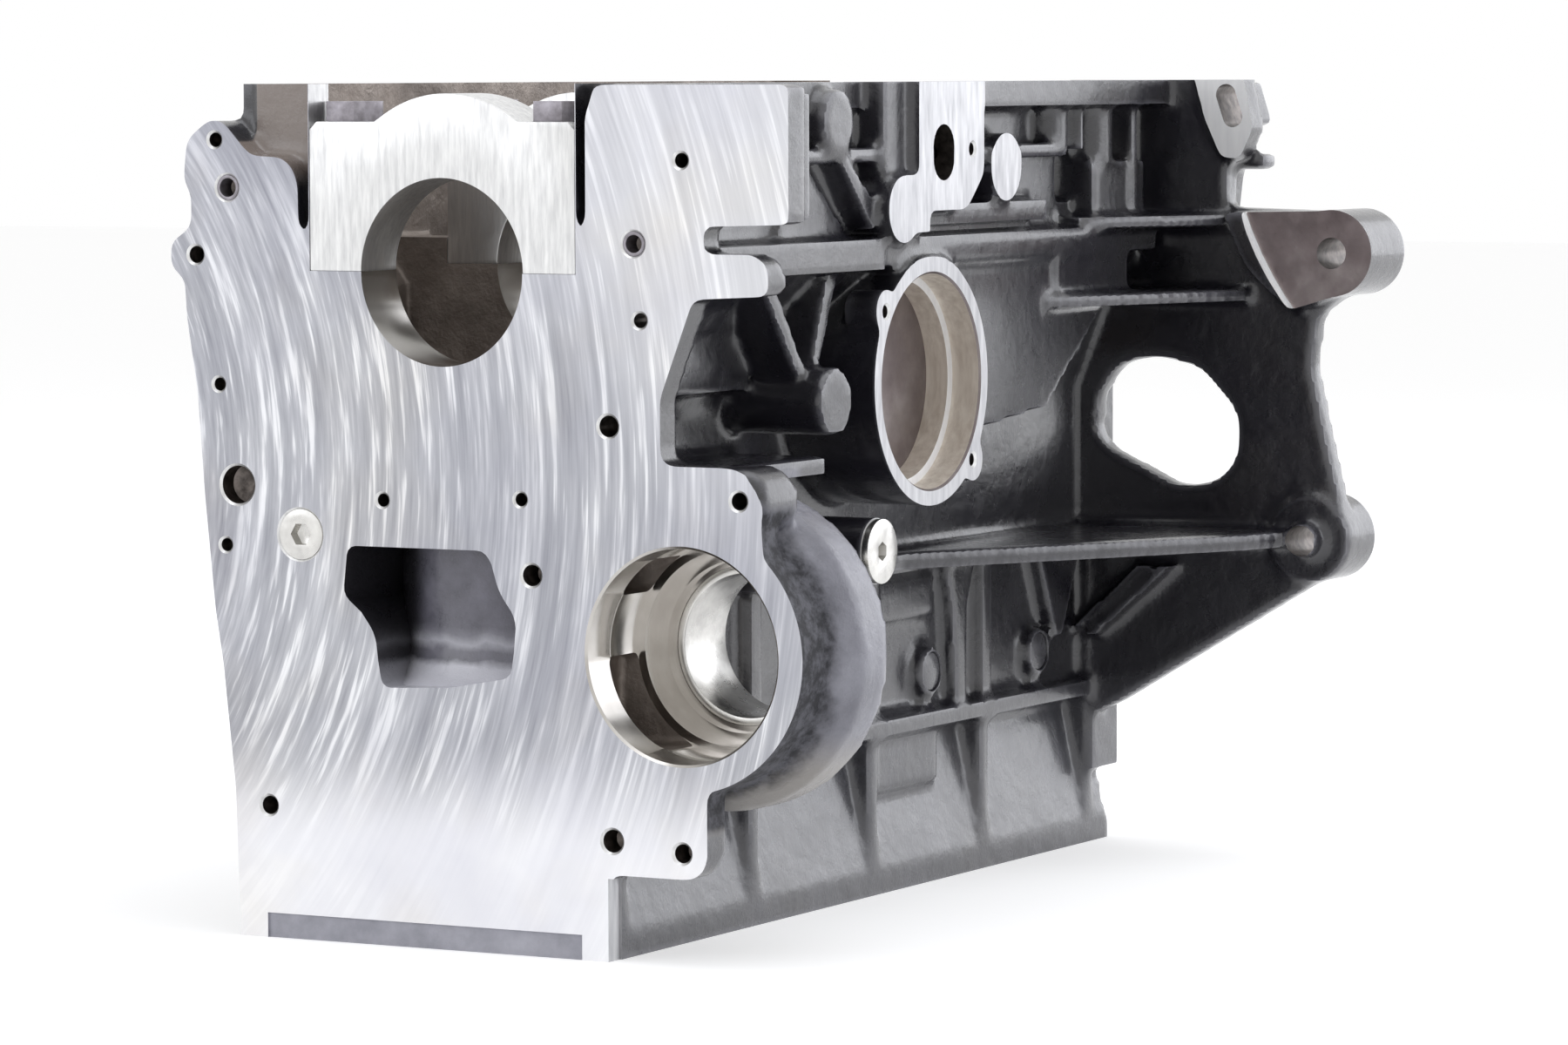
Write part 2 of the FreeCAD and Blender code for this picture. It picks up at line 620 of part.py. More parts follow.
def drillings():
    """Every drilled hole of the casting apart from the big bores."""
    tools = []
    for name, (x, z, radius, depth) in FRONT_HOLES.items():
        tools.append(rod(name, "y", radius, (x, z), (-1, depth)))
    for number in range(BEARINGS):
        for side, sign in (("left", "-"), ("right", "")):
            tools.append(rod("cap_bolt_hole_%d_%s" % (number, side), "z", "bolt_radius + bolt_hole_gap",
                             (sign + "bolt_spread", bearing_middle(number)),
                             ("-bolt_grip + 3", "rail_height")))
            tools.append(rod("head_bolt_hole_%d_%s" % (number, side), "z", "head_bolt_radius",
                             (sign + "head_bolt_spread", bearing_middle(number)),
                             ("-deck_height - 1", "-deck_height + head_bolt_depth")))
        tools.append(rod("oil_feed_%d" % number, "z", "oil_feed_radius",
                         (-10, bearing_middle(number)), (-60, -30)))
    for number in range(CYLINDERS):
        middle = cylinder_middle(number)
        tools.append(rod("core_plug_hole_%d" % number, "x", "core_plug_radius",
                         (middle, "-core_plug_height"), (50, "right_wall + core_boss_height + 1")))
        for side, sign in (("left", "-"), ("right", "")):
            across = ("%s(cylinder_radius + barrel_wall + jacket_width / 2)" % sign)
            tools.append(box("coolant_slot_%d_%s" % (number, side),
                             (across + " - jacket_width / 2 + 1", across + " + jacket_width / 2 - 1"),
                             (middle + " - 9", middle + " + 9"),
                             ("-deck_height - 1", "-deck_height + deck_roof + 1")))
        tools.append(box("oil_return_%d" % number, ("-left_wall + 6", "-left_wall + 17"),
                         (middle + " - 20", middle + " + 20"), ("-deck_height - 1", -40)))
    for number in range(PAN_BOLTS):
        along = "bearing_width * 2 + (%s - bearing_width * 4) * %d / %d" % (LENGTH, number, PAN_BOLTS - 1)
        for side, across in (("left", "-(skirt_inside + skirt_left) / 2"),
                             ("right", "(skirt_inside + skirt_outside) / 2")):
            tools.append(rod("pan_bolt_%s_%d" % (side, number), "z", "pan_bolt_radius", (across, along),
                             ("rail_height - pan_bolt_depth", "rail_height + 1")))
    return tools


def casting():
    pieces = front_plate() + cylinder_section() + crankcase() + side_ribs() + left_side_ribs()
    pieces += pocket_bosses() + side_port() + mounting_pads() + flywheel_flange() + accessory_housing()
    solid = fuse("rough_casting", pieces)
    hollow = cut("cored_casting", solid, crank_bays() + [water_jacket(), front_window()])
    bored = cut("bored_casting", hollow, cylinder_bores() + accessory_bores() + side_recesses()
                + flange_cuts())
    finished = cut("engine_block", bored, drillings())
    return finished


# ---------------------------------------------------------------- separate pieces

def bearing_cap(number):
    """A main bearing cap in its register, bored in line with the block."""
    side = "cap_half_width"
    outline = [
        ("-" + side, 0), (side, 0), (side, "cap_shoulder_height - cap_chamfer"),
        (side + " - cap_chamfer", "cap_shoulder_height"),
        ("cap_arch_foot", "cap_shoulder_height"),
        (2, "cap_shoulder_height + cap_arch_rise", "cap_arch_radius"),
        ("4 - cap_arch_foot", "cap_shoulder_height"),
        ("-%s + cap_chamfer" % side, "cap_shoulder_height"),
        ("-" + side, "cap_shoulder_height - cap_chamfer"),
    ]
    span = (bearing_start(number), bearing_end(number))
    body = prism("cap_body_%d" % (number + 1), "xz", outline, span)
    tools = [rod("cap_bore_%d" % (number + 1), "y", "main_bore_radius", (0, 0),
                 (bearing_start(number) + " - 1", bearing_end(number) + " + 1"))]
    for side_name, sign in (("left", "-"), ("right", "")):
        tools.append(rod("cap_hole_%d_%s" % (number + 1, side_name), "z", "bolt_radius + bolt_hole_gap",
                         (sign + "bolt_spread", bearing_middle(number)), (-1, "cap_shoulder_height + 1")))
    return cut("main_bearing_cap_%d" % (number + 1), body, tools)


def cap_bolts():
    """Two hexagon bolts through each cap."""
    bolts = []
    for number in range(BEARINGS):
        for side_name, sign in (("left", "-"), ("right", "")):
            name = "cap_bolt_%d_%s" % (number + 1, side_name)
            centre = (sign + "bolt_spread", bearing_middle(number))
            head = label("Part::Prism", name + "_head")
            head.Polygon = 6
            head.setExpression("Circumradius", bound("bolt_head_flats / sqrt(3)"))
            head.setExpression("Height", bound("bolt_head_height"))
            for axis, place in zip("xyz", centre + ("cap_shoulder_height",)):
                head.setExpression("Placement.Base." + axis, bound(place))
            shank = rod(name + "_shank", "z", "bolt_radius", centre,
                        ("-bolt_grip + 6", "cap_shoulder_height + 1"))
            bolts.append(fuse(name, [head, shank]))
    group = label("Part::Compound", "main_bearing_bolts")
    group.Links = bolts
    return group


def core_plugs():
    """Pressed disc plugs in the coolant jacket's side holes."""
    plugs = []
    for number in range(CYLINDERS):
        centre = (cylinder_middle(number), "-core_plug_height")
        mouth = "right_wall + core_boss_height - core_plug_sink"
        plugs.append(rod("core_plug_%d" % number, "x", "core_plug_radius", centre,
                         ("%s - core_plug_thickness" % mouth, mouth)))
    group = label("Part::Compound", "core_plugs")
    group.Links = plugs
    return group


def screw_plug(name, axis, radius, centre, face, length, inward, collar=None):
    """A threaded gallery plug with a hexagon socket, flush with its seat or with a flat collar."""
    inner = "(%s) + (%s) * (%s)" % (face, inward, length)
    span = (inner, face) if inward == "-1" else (face, inner)
    body = rod(name + "_body", axis, radius, centre, span)
    if collar:
        body = fuse(name + "_collared", [body, rod(name + "_collar", axis, collar[0], centre, collar[1])])
    socket = label("Part::Prism", name + "_socket")
    socket.Polygon = 6
    socket.Placement = Placement(Vector(), TURNS[axis])
    socket.setExpression("Circumradius", bound("(%s) * 0.48" % radius))
    socket.setExpression("Height", bound("(%s) * 0.6 + 1" % length))
    start = "(%s) - (%s) * 0.6" % (face, length) if inward == "-1" else "(%s) - 1" % face
    others = [a for a in "xyz" if a != axis]
    socket.setExpression("Placement.Base." + axis, bound(start))
    for other, place in zip(others, centre):
        socket.setExpression("Placement.Base." + other, bound(place))
    return cut(name, body, [socket])


def accessory_bush():
    centre = ("accessory_x", "-accessory_z")
    shell = rod("bush_shell", "y", "bush_outside", centre, ("bush_start", "accessory_length"))
    bore = rod("bush_bore", "y", "bush_outside - bush_wall", centre,
               ("bush_start - 1", "accessory_length + 1"))
    return cut("accessory_shaft_bush", shell, [bore])


def cover_dowels():
    """The two hollow dowels that locate the timing cover."""
    dowels = []
    for side in ("left", "right"):
        x, z, radius, depth = FRONT_HOLES["cover_dowel_" + side]
        shell = rod("cover_dowel_%s_shell" % side, "y", radius, (x, z), (0.5, depth))
        bore = rod("cover_dowel_%s_bore" % side, "y", radius - 1.25, (x, z), (-1, depth + 1))
        dowels.append(cut("cover_dowel_%s_sleeve" % side, shell, [bore]))
    group = label("Part::Compound", "timing_cover_dowels")
    group.Links = dowels
    return group


nodes = [casting()]
nodes += [bearing_cap(number) for number in range(BEARINGS)]
nodes += [
    cap_bolts(),
    core_plugs(),
    screw_plug("side_gallery_plug", "x", 8, (149, -110.5), 107, 12, "-1", (12.5, (104, 107))),
    screw_plug("front_gallery_plug", "y", 9.5, (-63, -99.5), 0.5, 7.5, "1"),
    accessory_bush(),
    cover_dowels(),
]

doc.recompute()

for thing in doc.Objects:
    if "Invalid" in thing.State or "Error" in thing.State:
        raise RuntimeError("%s failed: %s" % (thing.Label, thing.State))

os.makedirs("parts", exist_ok=True)
for node in nodes:
    if node.Shape.isNull() or not node.Shape.isValid():
        raise RuntimeError("%s has no valid shape" % node.Label)
    node.Shape.exportStep("parts/%s.step" % node.Label)
    print("%-24s solids %2d  volume %10.0f" % (node.Label, len(node.Shape.Solids), node.Shape.Volume))
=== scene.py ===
import math

import bmesh
import bpy
from mathutils import Matrix, Vector

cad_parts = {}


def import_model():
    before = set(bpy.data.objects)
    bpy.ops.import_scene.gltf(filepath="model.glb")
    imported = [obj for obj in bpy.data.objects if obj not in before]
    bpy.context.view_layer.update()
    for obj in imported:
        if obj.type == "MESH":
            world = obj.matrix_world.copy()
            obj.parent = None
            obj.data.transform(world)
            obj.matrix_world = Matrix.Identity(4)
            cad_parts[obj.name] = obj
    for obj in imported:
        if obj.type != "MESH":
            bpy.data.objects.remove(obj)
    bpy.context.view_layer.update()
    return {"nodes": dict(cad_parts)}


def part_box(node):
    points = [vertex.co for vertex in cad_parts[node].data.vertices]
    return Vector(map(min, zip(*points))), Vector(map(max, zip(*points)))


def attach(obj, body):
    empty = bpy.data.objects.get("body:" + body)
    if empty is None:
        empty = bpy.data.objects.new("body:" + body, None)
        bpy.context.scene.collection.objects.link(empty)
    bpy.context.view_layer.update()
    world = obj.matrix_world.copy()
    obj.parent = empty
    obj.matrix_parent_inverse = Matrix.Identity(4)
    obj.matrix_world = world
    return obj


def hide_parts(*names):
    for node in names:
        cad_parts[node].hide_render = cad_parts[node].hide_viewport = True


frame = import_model()

# An engine block standing on its head deck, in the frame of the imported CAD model: origin at the
# front of the crankshaft bore, +X to the accessory side, +Y to the flywheel, +Z to the oil pan.
# Shapes are given in millimetres; materials, lamps and the camera in metres.

MM = 0.001


def mm(*values):
    return Vector([value * MM for value in values])


LOW, HIGH = (Vector(corner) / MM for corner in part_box("engine_block"))
FRONT, REAR = LOW.y, HIGH.y
DECK, RAIL = LOW.z, HIGH.z
CAP_LOW, CAP_HIGH = (Vector(corner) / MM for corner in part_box("main_bearing_cap_1"))
CAP_2_LOW = Vector(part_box("main_bearing_cap_2")[0]) / MM
BEARING_WIDTH = CAP_HIGH.y - CAP_LOW.y
BEARING_PITCH = CAP_2_LOW.y - CAP_LOW.y
CYLINDERS = 4
CYLINDER_Y = [BEARING_PITCH * (n + 0.5) + BEARING_WIDTH / 2 for n in range(CYLINDERS)]
BEARING_Y = [BEARING_PITCH * n + BEARING_WIDTH / 2 for n in range(CYLINDERS + 1)]


# ---------------------------------------------------------------- node material helpers

class Nodes:
    """A material's node tree, with short calls to add and link nodes."""

    def __init__(self, name):
        self.material = bpy.data.materials.new(name)
        self.material.use_nodes = True
        self.tree = self.material.node_tree
        self.shader = self.tree.nodes["Principled BSDF"]

    def add(self, kind, **settings):
        node = self.tree.nodes.new(kind)
        for key, value in settings.items():
            setattr(node, key, value)
        return node

    def link(self, source, target):
        self.tree.links.new(source, target)

    def place(self):
        """Position in metres, the same as the object's own coordinates."""
        return self.add("ShaderNodeTexCoord").outputs["Object"]

    def axes(self):
        """X, Y and Z of the position."""
        split = self.add("ShaderNodeSeparateXYZ")
        self.link(self.place(), split.inputs["Vector"])
        return [split.outputs[axis] for axis in "XYZ"]

    def noise(self, scale, detail=4.0, rough=0.55, at=None, stretch=None):
        """Cloudy values around a half, at the object's own coordinates unless others are given."""
        node = self.add("ShaderNodeTexNoise")
        node.inputs["Scale"].default_value = scale
        node.inputs["Detail"].default_value = detail
        node.inputs["Roughness"].default_value = rough
        source = at or self.place()
        if stretch:
            mapping = self.add("ShaderNodeMapping")
            mapping.inputs["Scale"].default_value = stretch
            self.link(source, mapping.inputs["Vector"])
            source = mapping.outputs["Vector"]
        self.link(source, node.inputs["Vector"])
        return node.outputs["Fac"]

    def ramp(self, factor, stops):
        """Colours or grey values that follow a factor, between (position, value) stops."""
        node = self.add("ShaderNodeValToRGB")
        elements = node.color_ramp.elements
        while len(elements) < len(stops):
            elements.new(0.5)
        for element, (position, value) in zip(elements, stops):
            element.position = position
            tone = value if isinstance(value, tuple) else (value, value, value)
            element.color = (*tone, 1.0)
        self.link(factor, node.inputs["Fac"])
        return node.outputs["Color"]

    def math(self, operation, first, second=None, third=None):
        node = self.add("ShaderNodeMath", operation=operation)
        for socket, value in zip(node.inputs, (first, second, third)):
            if value is None:
                continue
            if isinstance(value, (int, float)):
                socket.default_value = value
            else:
                self.link(value, socket)
        return node.outputs["Value"]

    def mix(self, factor, first, second, blend="MIX"):
        node = self.add("ShaderNodeMix", data_type="RGBA", blend_type=blend)
        sockets = (node.inputs[0], node.inputs[6], node.inputs[7])
        for socket, value in zip(sockets, (factor, first, second)):
            if isinstance(value, tuple):
                socket.default_value = (*value, 1.0)
            elif isinstance(value, (int, float)):
                socket.default_value = value
            else:
                self.link(value, socket)
        return node.outputs[2]

    def bump(self, height, strength, distance, below=None):
        """Relief from a height, on top of the relief below it."""
        node = self.add("ShaderNodeBump")
        node.inputs["Strength"].default_value = strength
        node.inputs["Distance"].default_value = distance
        self.link(height, node.inputs["Height"])
        if below:
            self.link(below, node.inputs["Normal"])
        return node.outputs["Normal"]

    def span(self, value, start, end):
        """A smooth step from 0 to 1 while the value goes from start to end."""
        node = self.add("ShaderNodeMapRange", interpolation_type="SMOOTHSTEP")
        self.link(value, node.inputs["Value"])
        node.inputs["From Min"].default_value = start
        node.inputs["From Max"].default_value = end
        return node.outputs["Result"]

    def product(self, first, *others):
        """Masks multiplied with each other."""
        for other in others:
            first = self.math("MULTIPLY", first, other)
        return first

    def distance(self, across, height):
        """The length of two components taken together."""
        squares = self.math("ADD", self.product(across, across), self.product(height, height))
        return self.math("SQRT", squares)

    def set(self, **values):
        """Fixed values of the surface; an underscore stands for a space."""
        for key, value in values.items():
            self.shader.inputs[key.replace("_", " ")].default_value = value

    def feed(self, key, source):
        self.link(source, self.shader.inputs[key])


# ---------------------------------------------------------------- materials

# in metres: the axis of the accessory shaft, the centre of the front face's milling arcs, and
# the height at which the pocket's painted highlight starts, with how far it goes down
HOUSING_X, HOUSING_Z = 0.1013, -0.1392
ARCS_X, ARCS_Z = -0.27, -0.075
HIGHLIGHT_TOP, HIGHLIGHT_DEPTH = -0.13, 0.022


def housing_zones(n, x, y, z):
    """Masks for the drum around the accessory shaft, and for the rough groove in front of it."""
    across = n.math("SUBTRACT", x, HOUSING_X)
    radius = n.distance(across, n.math("SUBTRACT", z, HOUSING_Z))
    housing = n.product(n.span(radius, 0.068, 0.063), n.span(across, -0.03, -0.01),
                        n.span(y, 0.088, 0.078))
    ragged = n.math("ADD", y, n.product(n.noise(70, 4, 0.6), 0.012))
    return housing, n.product(housing, n.span(ragged, 0.032, 0.023))


def painted_casting():
    """Black gloss paint over sand-cast iron, dusty, thin near the deck and lighter there as a
    painted reflection of the floor, with painted highlights on sharp edges.
    """
    n = Nodes("painted_casting")
    x, y, z = n.axes()
    # towards the deck the paint is thinner and lighter; the lightening is also a painted reflection
    # of the white floor
    low = n.span(z, -0.175, -0.2)
    black = n.ramp(n.noise(22, 5), [(0.3, (0.010, 0.0095, 0.013)), (0.7, (0.022, 0.021, 0.028))])
    thin = n.ramp(n.noise(40, 5, 0.6), [(0.3, (0.03, 0.03, 0.037)), (0.7, (0.062, 0.062, 0.074))])
    colour = n.mix(low, black, thin)
    dust = n.ramp(n.noise(9, 6, 0.65), [(0.5, 0.0), (0.72, 0.35)])
    colour = n.mix(dust, colour, (0.1, 0.093, 0.09))
    # painted highlight: sharp edges, found by pointiness, are lightened to a grey-lavender
    edge = n.add("ShaderNodeNewGeometry").outputs["Pointiness"]
    edge_highlight = n.ramp(edge, [(0.515, 0.0), (0.56, 0.5)])
    colour = n.mix(edge_highlight, colour, (0.22, 0.218, 0.245))
    oily_skirt = n.product(n.span(x, -0.0895, -0.0885), n.span(x, -0.05, -0.056),
                           n.span(z, 0.03, 0.045), n.span(y, 0.06, 0.05))
    colour = n.mix(oily_skirt, colour, (0.26, 0.215, 0.19))
    housing, groove = housing_zones(n, x, y, z)
    drum = n.ramp(n.noise(45, 5, 0.6), [(0.3, (0.17, 0.17, 0.2)), (0.7, (0.3, 0.3, 0.345))])
    drum = n.mix(n.span(z, -0.165, -0.185), drum, (0.32, 0.3, 0.28))
    pits = [(0.42, (0.02, 0.02, 0.024)), (0.62, (0.1, 0.1, 0.115))]
    pitted = n.ramp(n.noise(160, 4, 0.7), pits)
    colour = n.mix(housing, colour, n.mix(groove, drum, pitted))
    n.feed("Base Color", colour)
    gloss = n.ramp(n.noise(60, 4), [(0.3, 0.19), (0.7, 0.34)])
    n.feed("Roughness", n.mix(groove, gloss, (0.6, 0.6, 0.6)))
    n.feed("Coat Weight", n.math("SUBTRACT", 0.5, n.product(housing, 0.45)))
    n.feed("Specular IOR Level", n.math("SUBTRACT", 0.6, n.product(groove, 0.4)))
    n.set(Coat_Roughness=0.15, IOR=1.52)
    sand = n.bump(n.noise(900, 4, 0.7), 0.35, 0.0004)
    n.feed("Normal", n.bump(n.noise(130, 3, 0.5), 0.35, 0.0016, sand))
    return n.material


def raw_casting():
    """Unpainted, oiled inside of the crankcase and of the coolant space."""
    n = Nodes("raw_casting")
    colour = n.ramp(n.noise(35, 5), [(0.3, (0.15, 0.125, 0.108)), (0.72, (0.36, 0.31, 0.275))])
    n.feed("Base Color", colour)
    n.feed("Roughness", n.ramp(n.noise(80, 3), [(0.3, 0.38), (0.7, 0.6)]))
    n.set(Metallic=0.55)
    sand = n.bump(n.noise(700, 4, 0.7), 0.5, 0.0005)
    n.feed("Normal", n.bump(n.noise(110, 3), 0.4, 0.002, sand))
    return n.material


def foundry_band():
    """The unmachined strip at the foot of the front face: thin grey paint over a rough skin, made
    pale as a painted reflection of the white floor.
    """
    n = Nodes("foundry_band")
    # pale grey: thin paint, lightened as a painted reflection of the white floor
    stops = [(0.3, (0.36, 0.36, 0.41)), (0.7, (0.54, 0.54, 0.6))]
    n.feed("Base Color", n.ramp(n.noise(70, 5, 0.65), stops))
    n.feed("Roughness", n.ramp(n.noise(50, 3), [(0.3, 0.4), (0.7, 0.6)]))
    n.feed("Normal", n.bump(n.noise(800, 4, 0.7), 0.4, 0.0004))
    return n.material


def milled_face():
    """A face milled by a large cutter, in wide arcs about a centre beyond the left edge."""
    n = Nodes("milled_face")
    x, y, z = n.axes()
    across = n.math("SUBTRACT", x, ARCS_X)
    height = n.math("SUBTRACT", z, ARCS_Z)
    angle = n.math("ARCTAN2", height, across)
    arc = n.add("ShaderNodeCombineXYZ")
    n.link(n.distance(across, height), arc.inputs["X"])
    n.link(n.product(angle, 0.013), arc.inputs["Y"])
    n.link(y, arc.inputs["Z"])
    fine = n.noise(900, 3, 0.6, arc.outputs["Vector"])
    broad = n.noise(290, 3, 0.6, arc.outputs["Vector"])
    wide = n.noise(60, 3, 0.5, arc.outputs["Vector"])
    patches = n.noise(11, 4, 0.55)
    rust = n.noise(17, 3, 0.5)
    streak = n.math("ADD", n.product(fine, 0.3), n.product(broad, 0.7))
    stops = [(0.36, (0.33, 0.335, 0.365)), (0.5, (0.46, 0.465, 0.495)), (0.62, (0.66, 0.665, 0.69))]
    body = n.ramp(n.math("ADD", n.product(wide, 0.4), n.product(streak, 0.6)), stops)
    scratch = n.product(n.ramp(broad, [(0.54, 0.0), (0.64, 0.85)]), n.span(patches, 0.35, 0.6))
    colour = n.mix(scratch, body, (0.86, 0.865, 0.88))
    # painted reflection: the face turns near white towards its foot, where the white floor is
    # mirrored in it; painted highlight: lighter towards the upper right corner
    uneven = n.math("ADD", z, n.product(patches, 0.03))
    foot = n.product(n.span(uneven, -0.155, -0.205), 0.9)
    corner_highlight = n.product(n.span(n.math("ADD", x, z), 0.0, 0.1), 0.45)
    colour = n.mix(n.math("MAXIMUM", foot, corner_highlight), colour, (0.93, 0.93, 0.94))
    stain = n.ramp(patches, [(0.32, (0.84, 0.84, 0.88)), (0.62, (1.0, 1.0, 1.0))])
    warm = n.ramp(rust, [(0.5, (1.0, 1.0, 1.0)), (0.75, (0.97, 0.95, 0.91))])
    n.feed("Base Color", n.mix(1.0, n.mix(1.0, colour, stain, "MULTIPLY"), warm, "MULTIPLY"))
    n.feed("Roughness", n.ramp(streak, [(0.35, 0.52), (0.62, 0.36)]))
    n.set(Metallic=0.85)
    n.feed("Normal", n.bump(streak, 0.3, 0.0004))
    return n.material


def grey_pocket():
    """The cast pocket in the front face: thin grey paint, with painted highlights on its floor and
    painted shade on its left part.
    """
    n = Nodes("grey_pocket")
    x, _, z = n.axes()
    # painted highlight: pale bands along the pocket's floor, set by height, only right of its left
    # part
    uneven = n.math("ADD", z, n.product(n.noise(90, 4), 0.006))
    depth = n.math("DIVIDE", n.math("SUBTRACT", HIGHLIGHT_TOP, uneven), HIGHLIGHT_DEPTH)
    painted_highlight = n.ramp(depth, [(0.0, 0.0), (0.12, 0.1), (0.28, 0.5), (0.42, 0.06), (0.55, 0.04),
                           (0.68, 0.8), (1.0, 1.0)])
    dark = n.ramp(n.noise(60, 5, 0.6), [(0.3, (0.085, 0.083, 0.105)), (0.7, (0.2, 0.195, 0.235))])
    # painted shade: the pocket's left part is darkened nearly to black
    dark = n.mix(n.span(x, -0.016, -0.028), dark, (0.02, 0.019, 0.023))
    painted_highlight = n.product(painted_highlight, n.span(x, -0.032, -0.022))
    n.feed("Base Color", n.mix(painted_highlight, dark, (0.8, 0.8, 0.87)))
    n.feed("Roughness", n.ramp(n.noise(120, 3), [(0.3, 0.25), (0.7, 0.42)]))
    n.set(Coat_Weight=0.4, Coat_Roughness=0.15)
    sand = n.bump(n.noise(900, 4, 0.7), 0.4, 0.0004)
    n.feed("Normal", n.bump(n.noise(120, 3, 0.5), 0.35, 0.0016, sand))
    return n.material


def worn_face(name, tint):
    """Machined iron with a brown oil film, as on the starter lug and in the side port."""
    n = Nodes(name)
    stops = [(0.3, (0.2, 0.16, 0.16)), (0.5, (0.3, 0.25, 0.25)), (0.75, (0.5, 0.45, 0.44))]
    stops = [(position, tuple(part * tint for part in tone)) for position, tone in stops]
    n.feed("Base Color", n.ramp(n.noise(30, 5, 0.6), stops))
    n.feed("Roughness", n.ramp(n.noise(140, 3), [(0.3, 0.3), (0.7, 0.48)]))
    n.set(Metallic=0.75)
    n.feed("Normal", n.bump(n.noise(600, 3, 0.6), 0.2, 0.0003))
    return n.material


def pad_face(name, low, high, metallic, scale=300, stretch=0.15, rough=(0.5, 0.38)):
    """A machined face with faint upright cutter marks, between a low and a high colour."""
    n = Nodes(name)
    grain = n.noise(scale, 3, 0.6, stretch=(1.0, 1.0, stretch))
    n.feed("Base Color", n.ramp(grain, [(0.3, low), (0.7, high)]))
    n.feed("Roughness", n.ramp(grain, [(0.3, rough[0]), (0.7, rough[1])]))
    n.set(Metallic=metallic)
    n.feed("Normal", n.bump(grain, 0.15, 0.0003))
    return n.material


def bored_metal():
    """A bored or honed round surface: bright, cloudy and a little warm."""
    n = Nodes("bored_metal")
    grain = n.noise(22, 4, 0.55)
    n.feed("Base Color", n.ramp(grain, [(0.3, (0.44, 0.415, 0.385)), (0.7, (0.64, 0.62, 0.59))]))
    n.feed("Roughness", n.ramp(n.noise(45, 3), [(0.3, 0.14), (0.7, 0.24)]))
    n.set(Metallic=1.0)
    n.feed("Normal", n.bump(grain, 0.08, 0.0002))
    return n.material


def dark_steel():
    """Oil-blackened steel of the cap bolts and the dowels."""
    n = Nodes("dark_steel")
    stops = [(0.3, (0.2, 0.185, 0.2)), (0.7, (0.36, 0.34, 0.37))]
    n.feed("Base Color", n.ramp(n.noise(260, 3), stops))
    n.feed("Roughness", n.ramp(n.noise(120, 3), [(0.3, 0.3), (0.7, 0.5)]))
    n.set(Metallic=0.85)
    n.feed("Normal", n.bump(n.noise(900, 2), 0.15, 0.0002))
    return n.material


def plated_steel():
    """Satin metal of the gallery plugs and the accessory bush."""
    n = Nodes("plated_steel")
    stops = [(0.3, (0.55, 0.54, 0.52)), (0.7, (0.72, 0.71, 0.68))]
    n.feed("Base Color", n.ramp(n.noise(150, 3), stops))
    n.feed("Roughness", n.ramp(n.noise(90, 3), [(0.3, 0.22), (0.7, 0.36)]))
    n.set(Metallic=1.0)
    n.feed("Normal", n.bump(n.noise(500, 2), 0.08, 0.0002))
    return n.material


def drilled_hole():
    """The oily wall of a drilled hole or a narrow slot."""
    n = Nodes("drilled_hole")
    stops = [(0.3, (0.06, 0.052, 0.048)), (0.7, (0.2, 0.175, 0.16))]
    n.feed("Base Color", n.ramp(n.noise(300, 3), stops))
    n.set(Metallic=0.9, Roughness=0.35)
    return n.material


PAINT = painted_casting()
BAND = foundry_band()
RAW = raw_casting()
MILLED = milled_face()
GROUND = pad_face("ground_face", (0.6, 0.6, 0.6), (0.84, 0.84, 0.83), 0.9,
                  scale=500, stretch=0.12, rough=(0.42, 0.28))
PAD = pad_face("pad_face", (0.4, 0.4, 0.415), (0.56, 0.56, 0.57), 0.85)
PALE = pad_face("pale_face", (0.8, 0.8, 0.81), (0.9, 0.9, 0.9), 0.1)
PORT_WALL = pad_face("port_wall", (0.62, 0.55, 0.47), (0.85, 0.79, 0.7), 0.35)
PORT_FLOOR = worn_face("port_floor", 0.55)
POCKET = grey_pocket()
WORN = worn_face("worn_face", 1.1)
BORED = bored_metal()
DARK = dark_steel()
PLATED = plated_steel()
HOLE = drilled_hole()


# ---------------------------------------------------------------- mesh helpers

def new_object(name, mesh):
    thing = bpy.data.objects.new(name, mesh)
    bpy.context.scene.collection.objects.link(thing)
    return thing


def from_bmesh(name, bm, material):
    mesh = bpy.data.meshes.new(name)
    bmesh.ops.recalc_face_normals(bm, faces=bm.faces)
    bm.to_mesh(mesh)
    bm.free()
    mesh.materials.append(material)
    return new_object(name, mesh)


def apply_modifiers(thing):
    """Replaces the object's mesh with the result of its modifiers."""
    bpy.context.view_layer.update()
    graph = bpy.context.evaluated_depsgraph_get()
    result = bpy.data.meshes.new_from_object(thing.evaluated_get(graph))
    thing.modifiers.clear()
    thing.data = result
    return thing


def soften_edges(thing, width, segments, angle):
    """Bevels every edge that is sharper than the angle."""
    soften = thing.modifiers.new("bevel", "BEVEL")
    soften.width = width * MM
    soften.segments = segments
    soften.limit_method = "ANGLE"
    soften.angle_limit = math.radians(angle)
    return apply_modifiers(thing)


def block(name, x, y, z, material):
    """A cutting box between two limits on each axis, in millimetres."""
    bm = bmesh.new()
    corners = [bm.verts.new(mm(a, b, c)) for a in x for b in y for c in z]
    sides = [(0, 1, 3, 2), (4, 6, 7, 5), (0, 4, 5, 1), (2, 3, 7, 6), (0, 2, 6, 4), (1, 5, 7, 3)]
    for side in sides:
        bm.faces.new([corners[i] for i in side])
    return from_bmesh(name, bm, material)


AXIS_FRAMES = {
    "x": (Vector((1, 0, 0)), Vector((0, 1, 0)), Vector((0, 0, 1))),
    "y": (Vector((0, 1, 0)), Vector((0, 0, 1)), Vector((1, 0, 0))),
    "z": (Vector((0, 0, 1)), Vector((1, 0, 0)), Vector((0, 1, 0))),
}


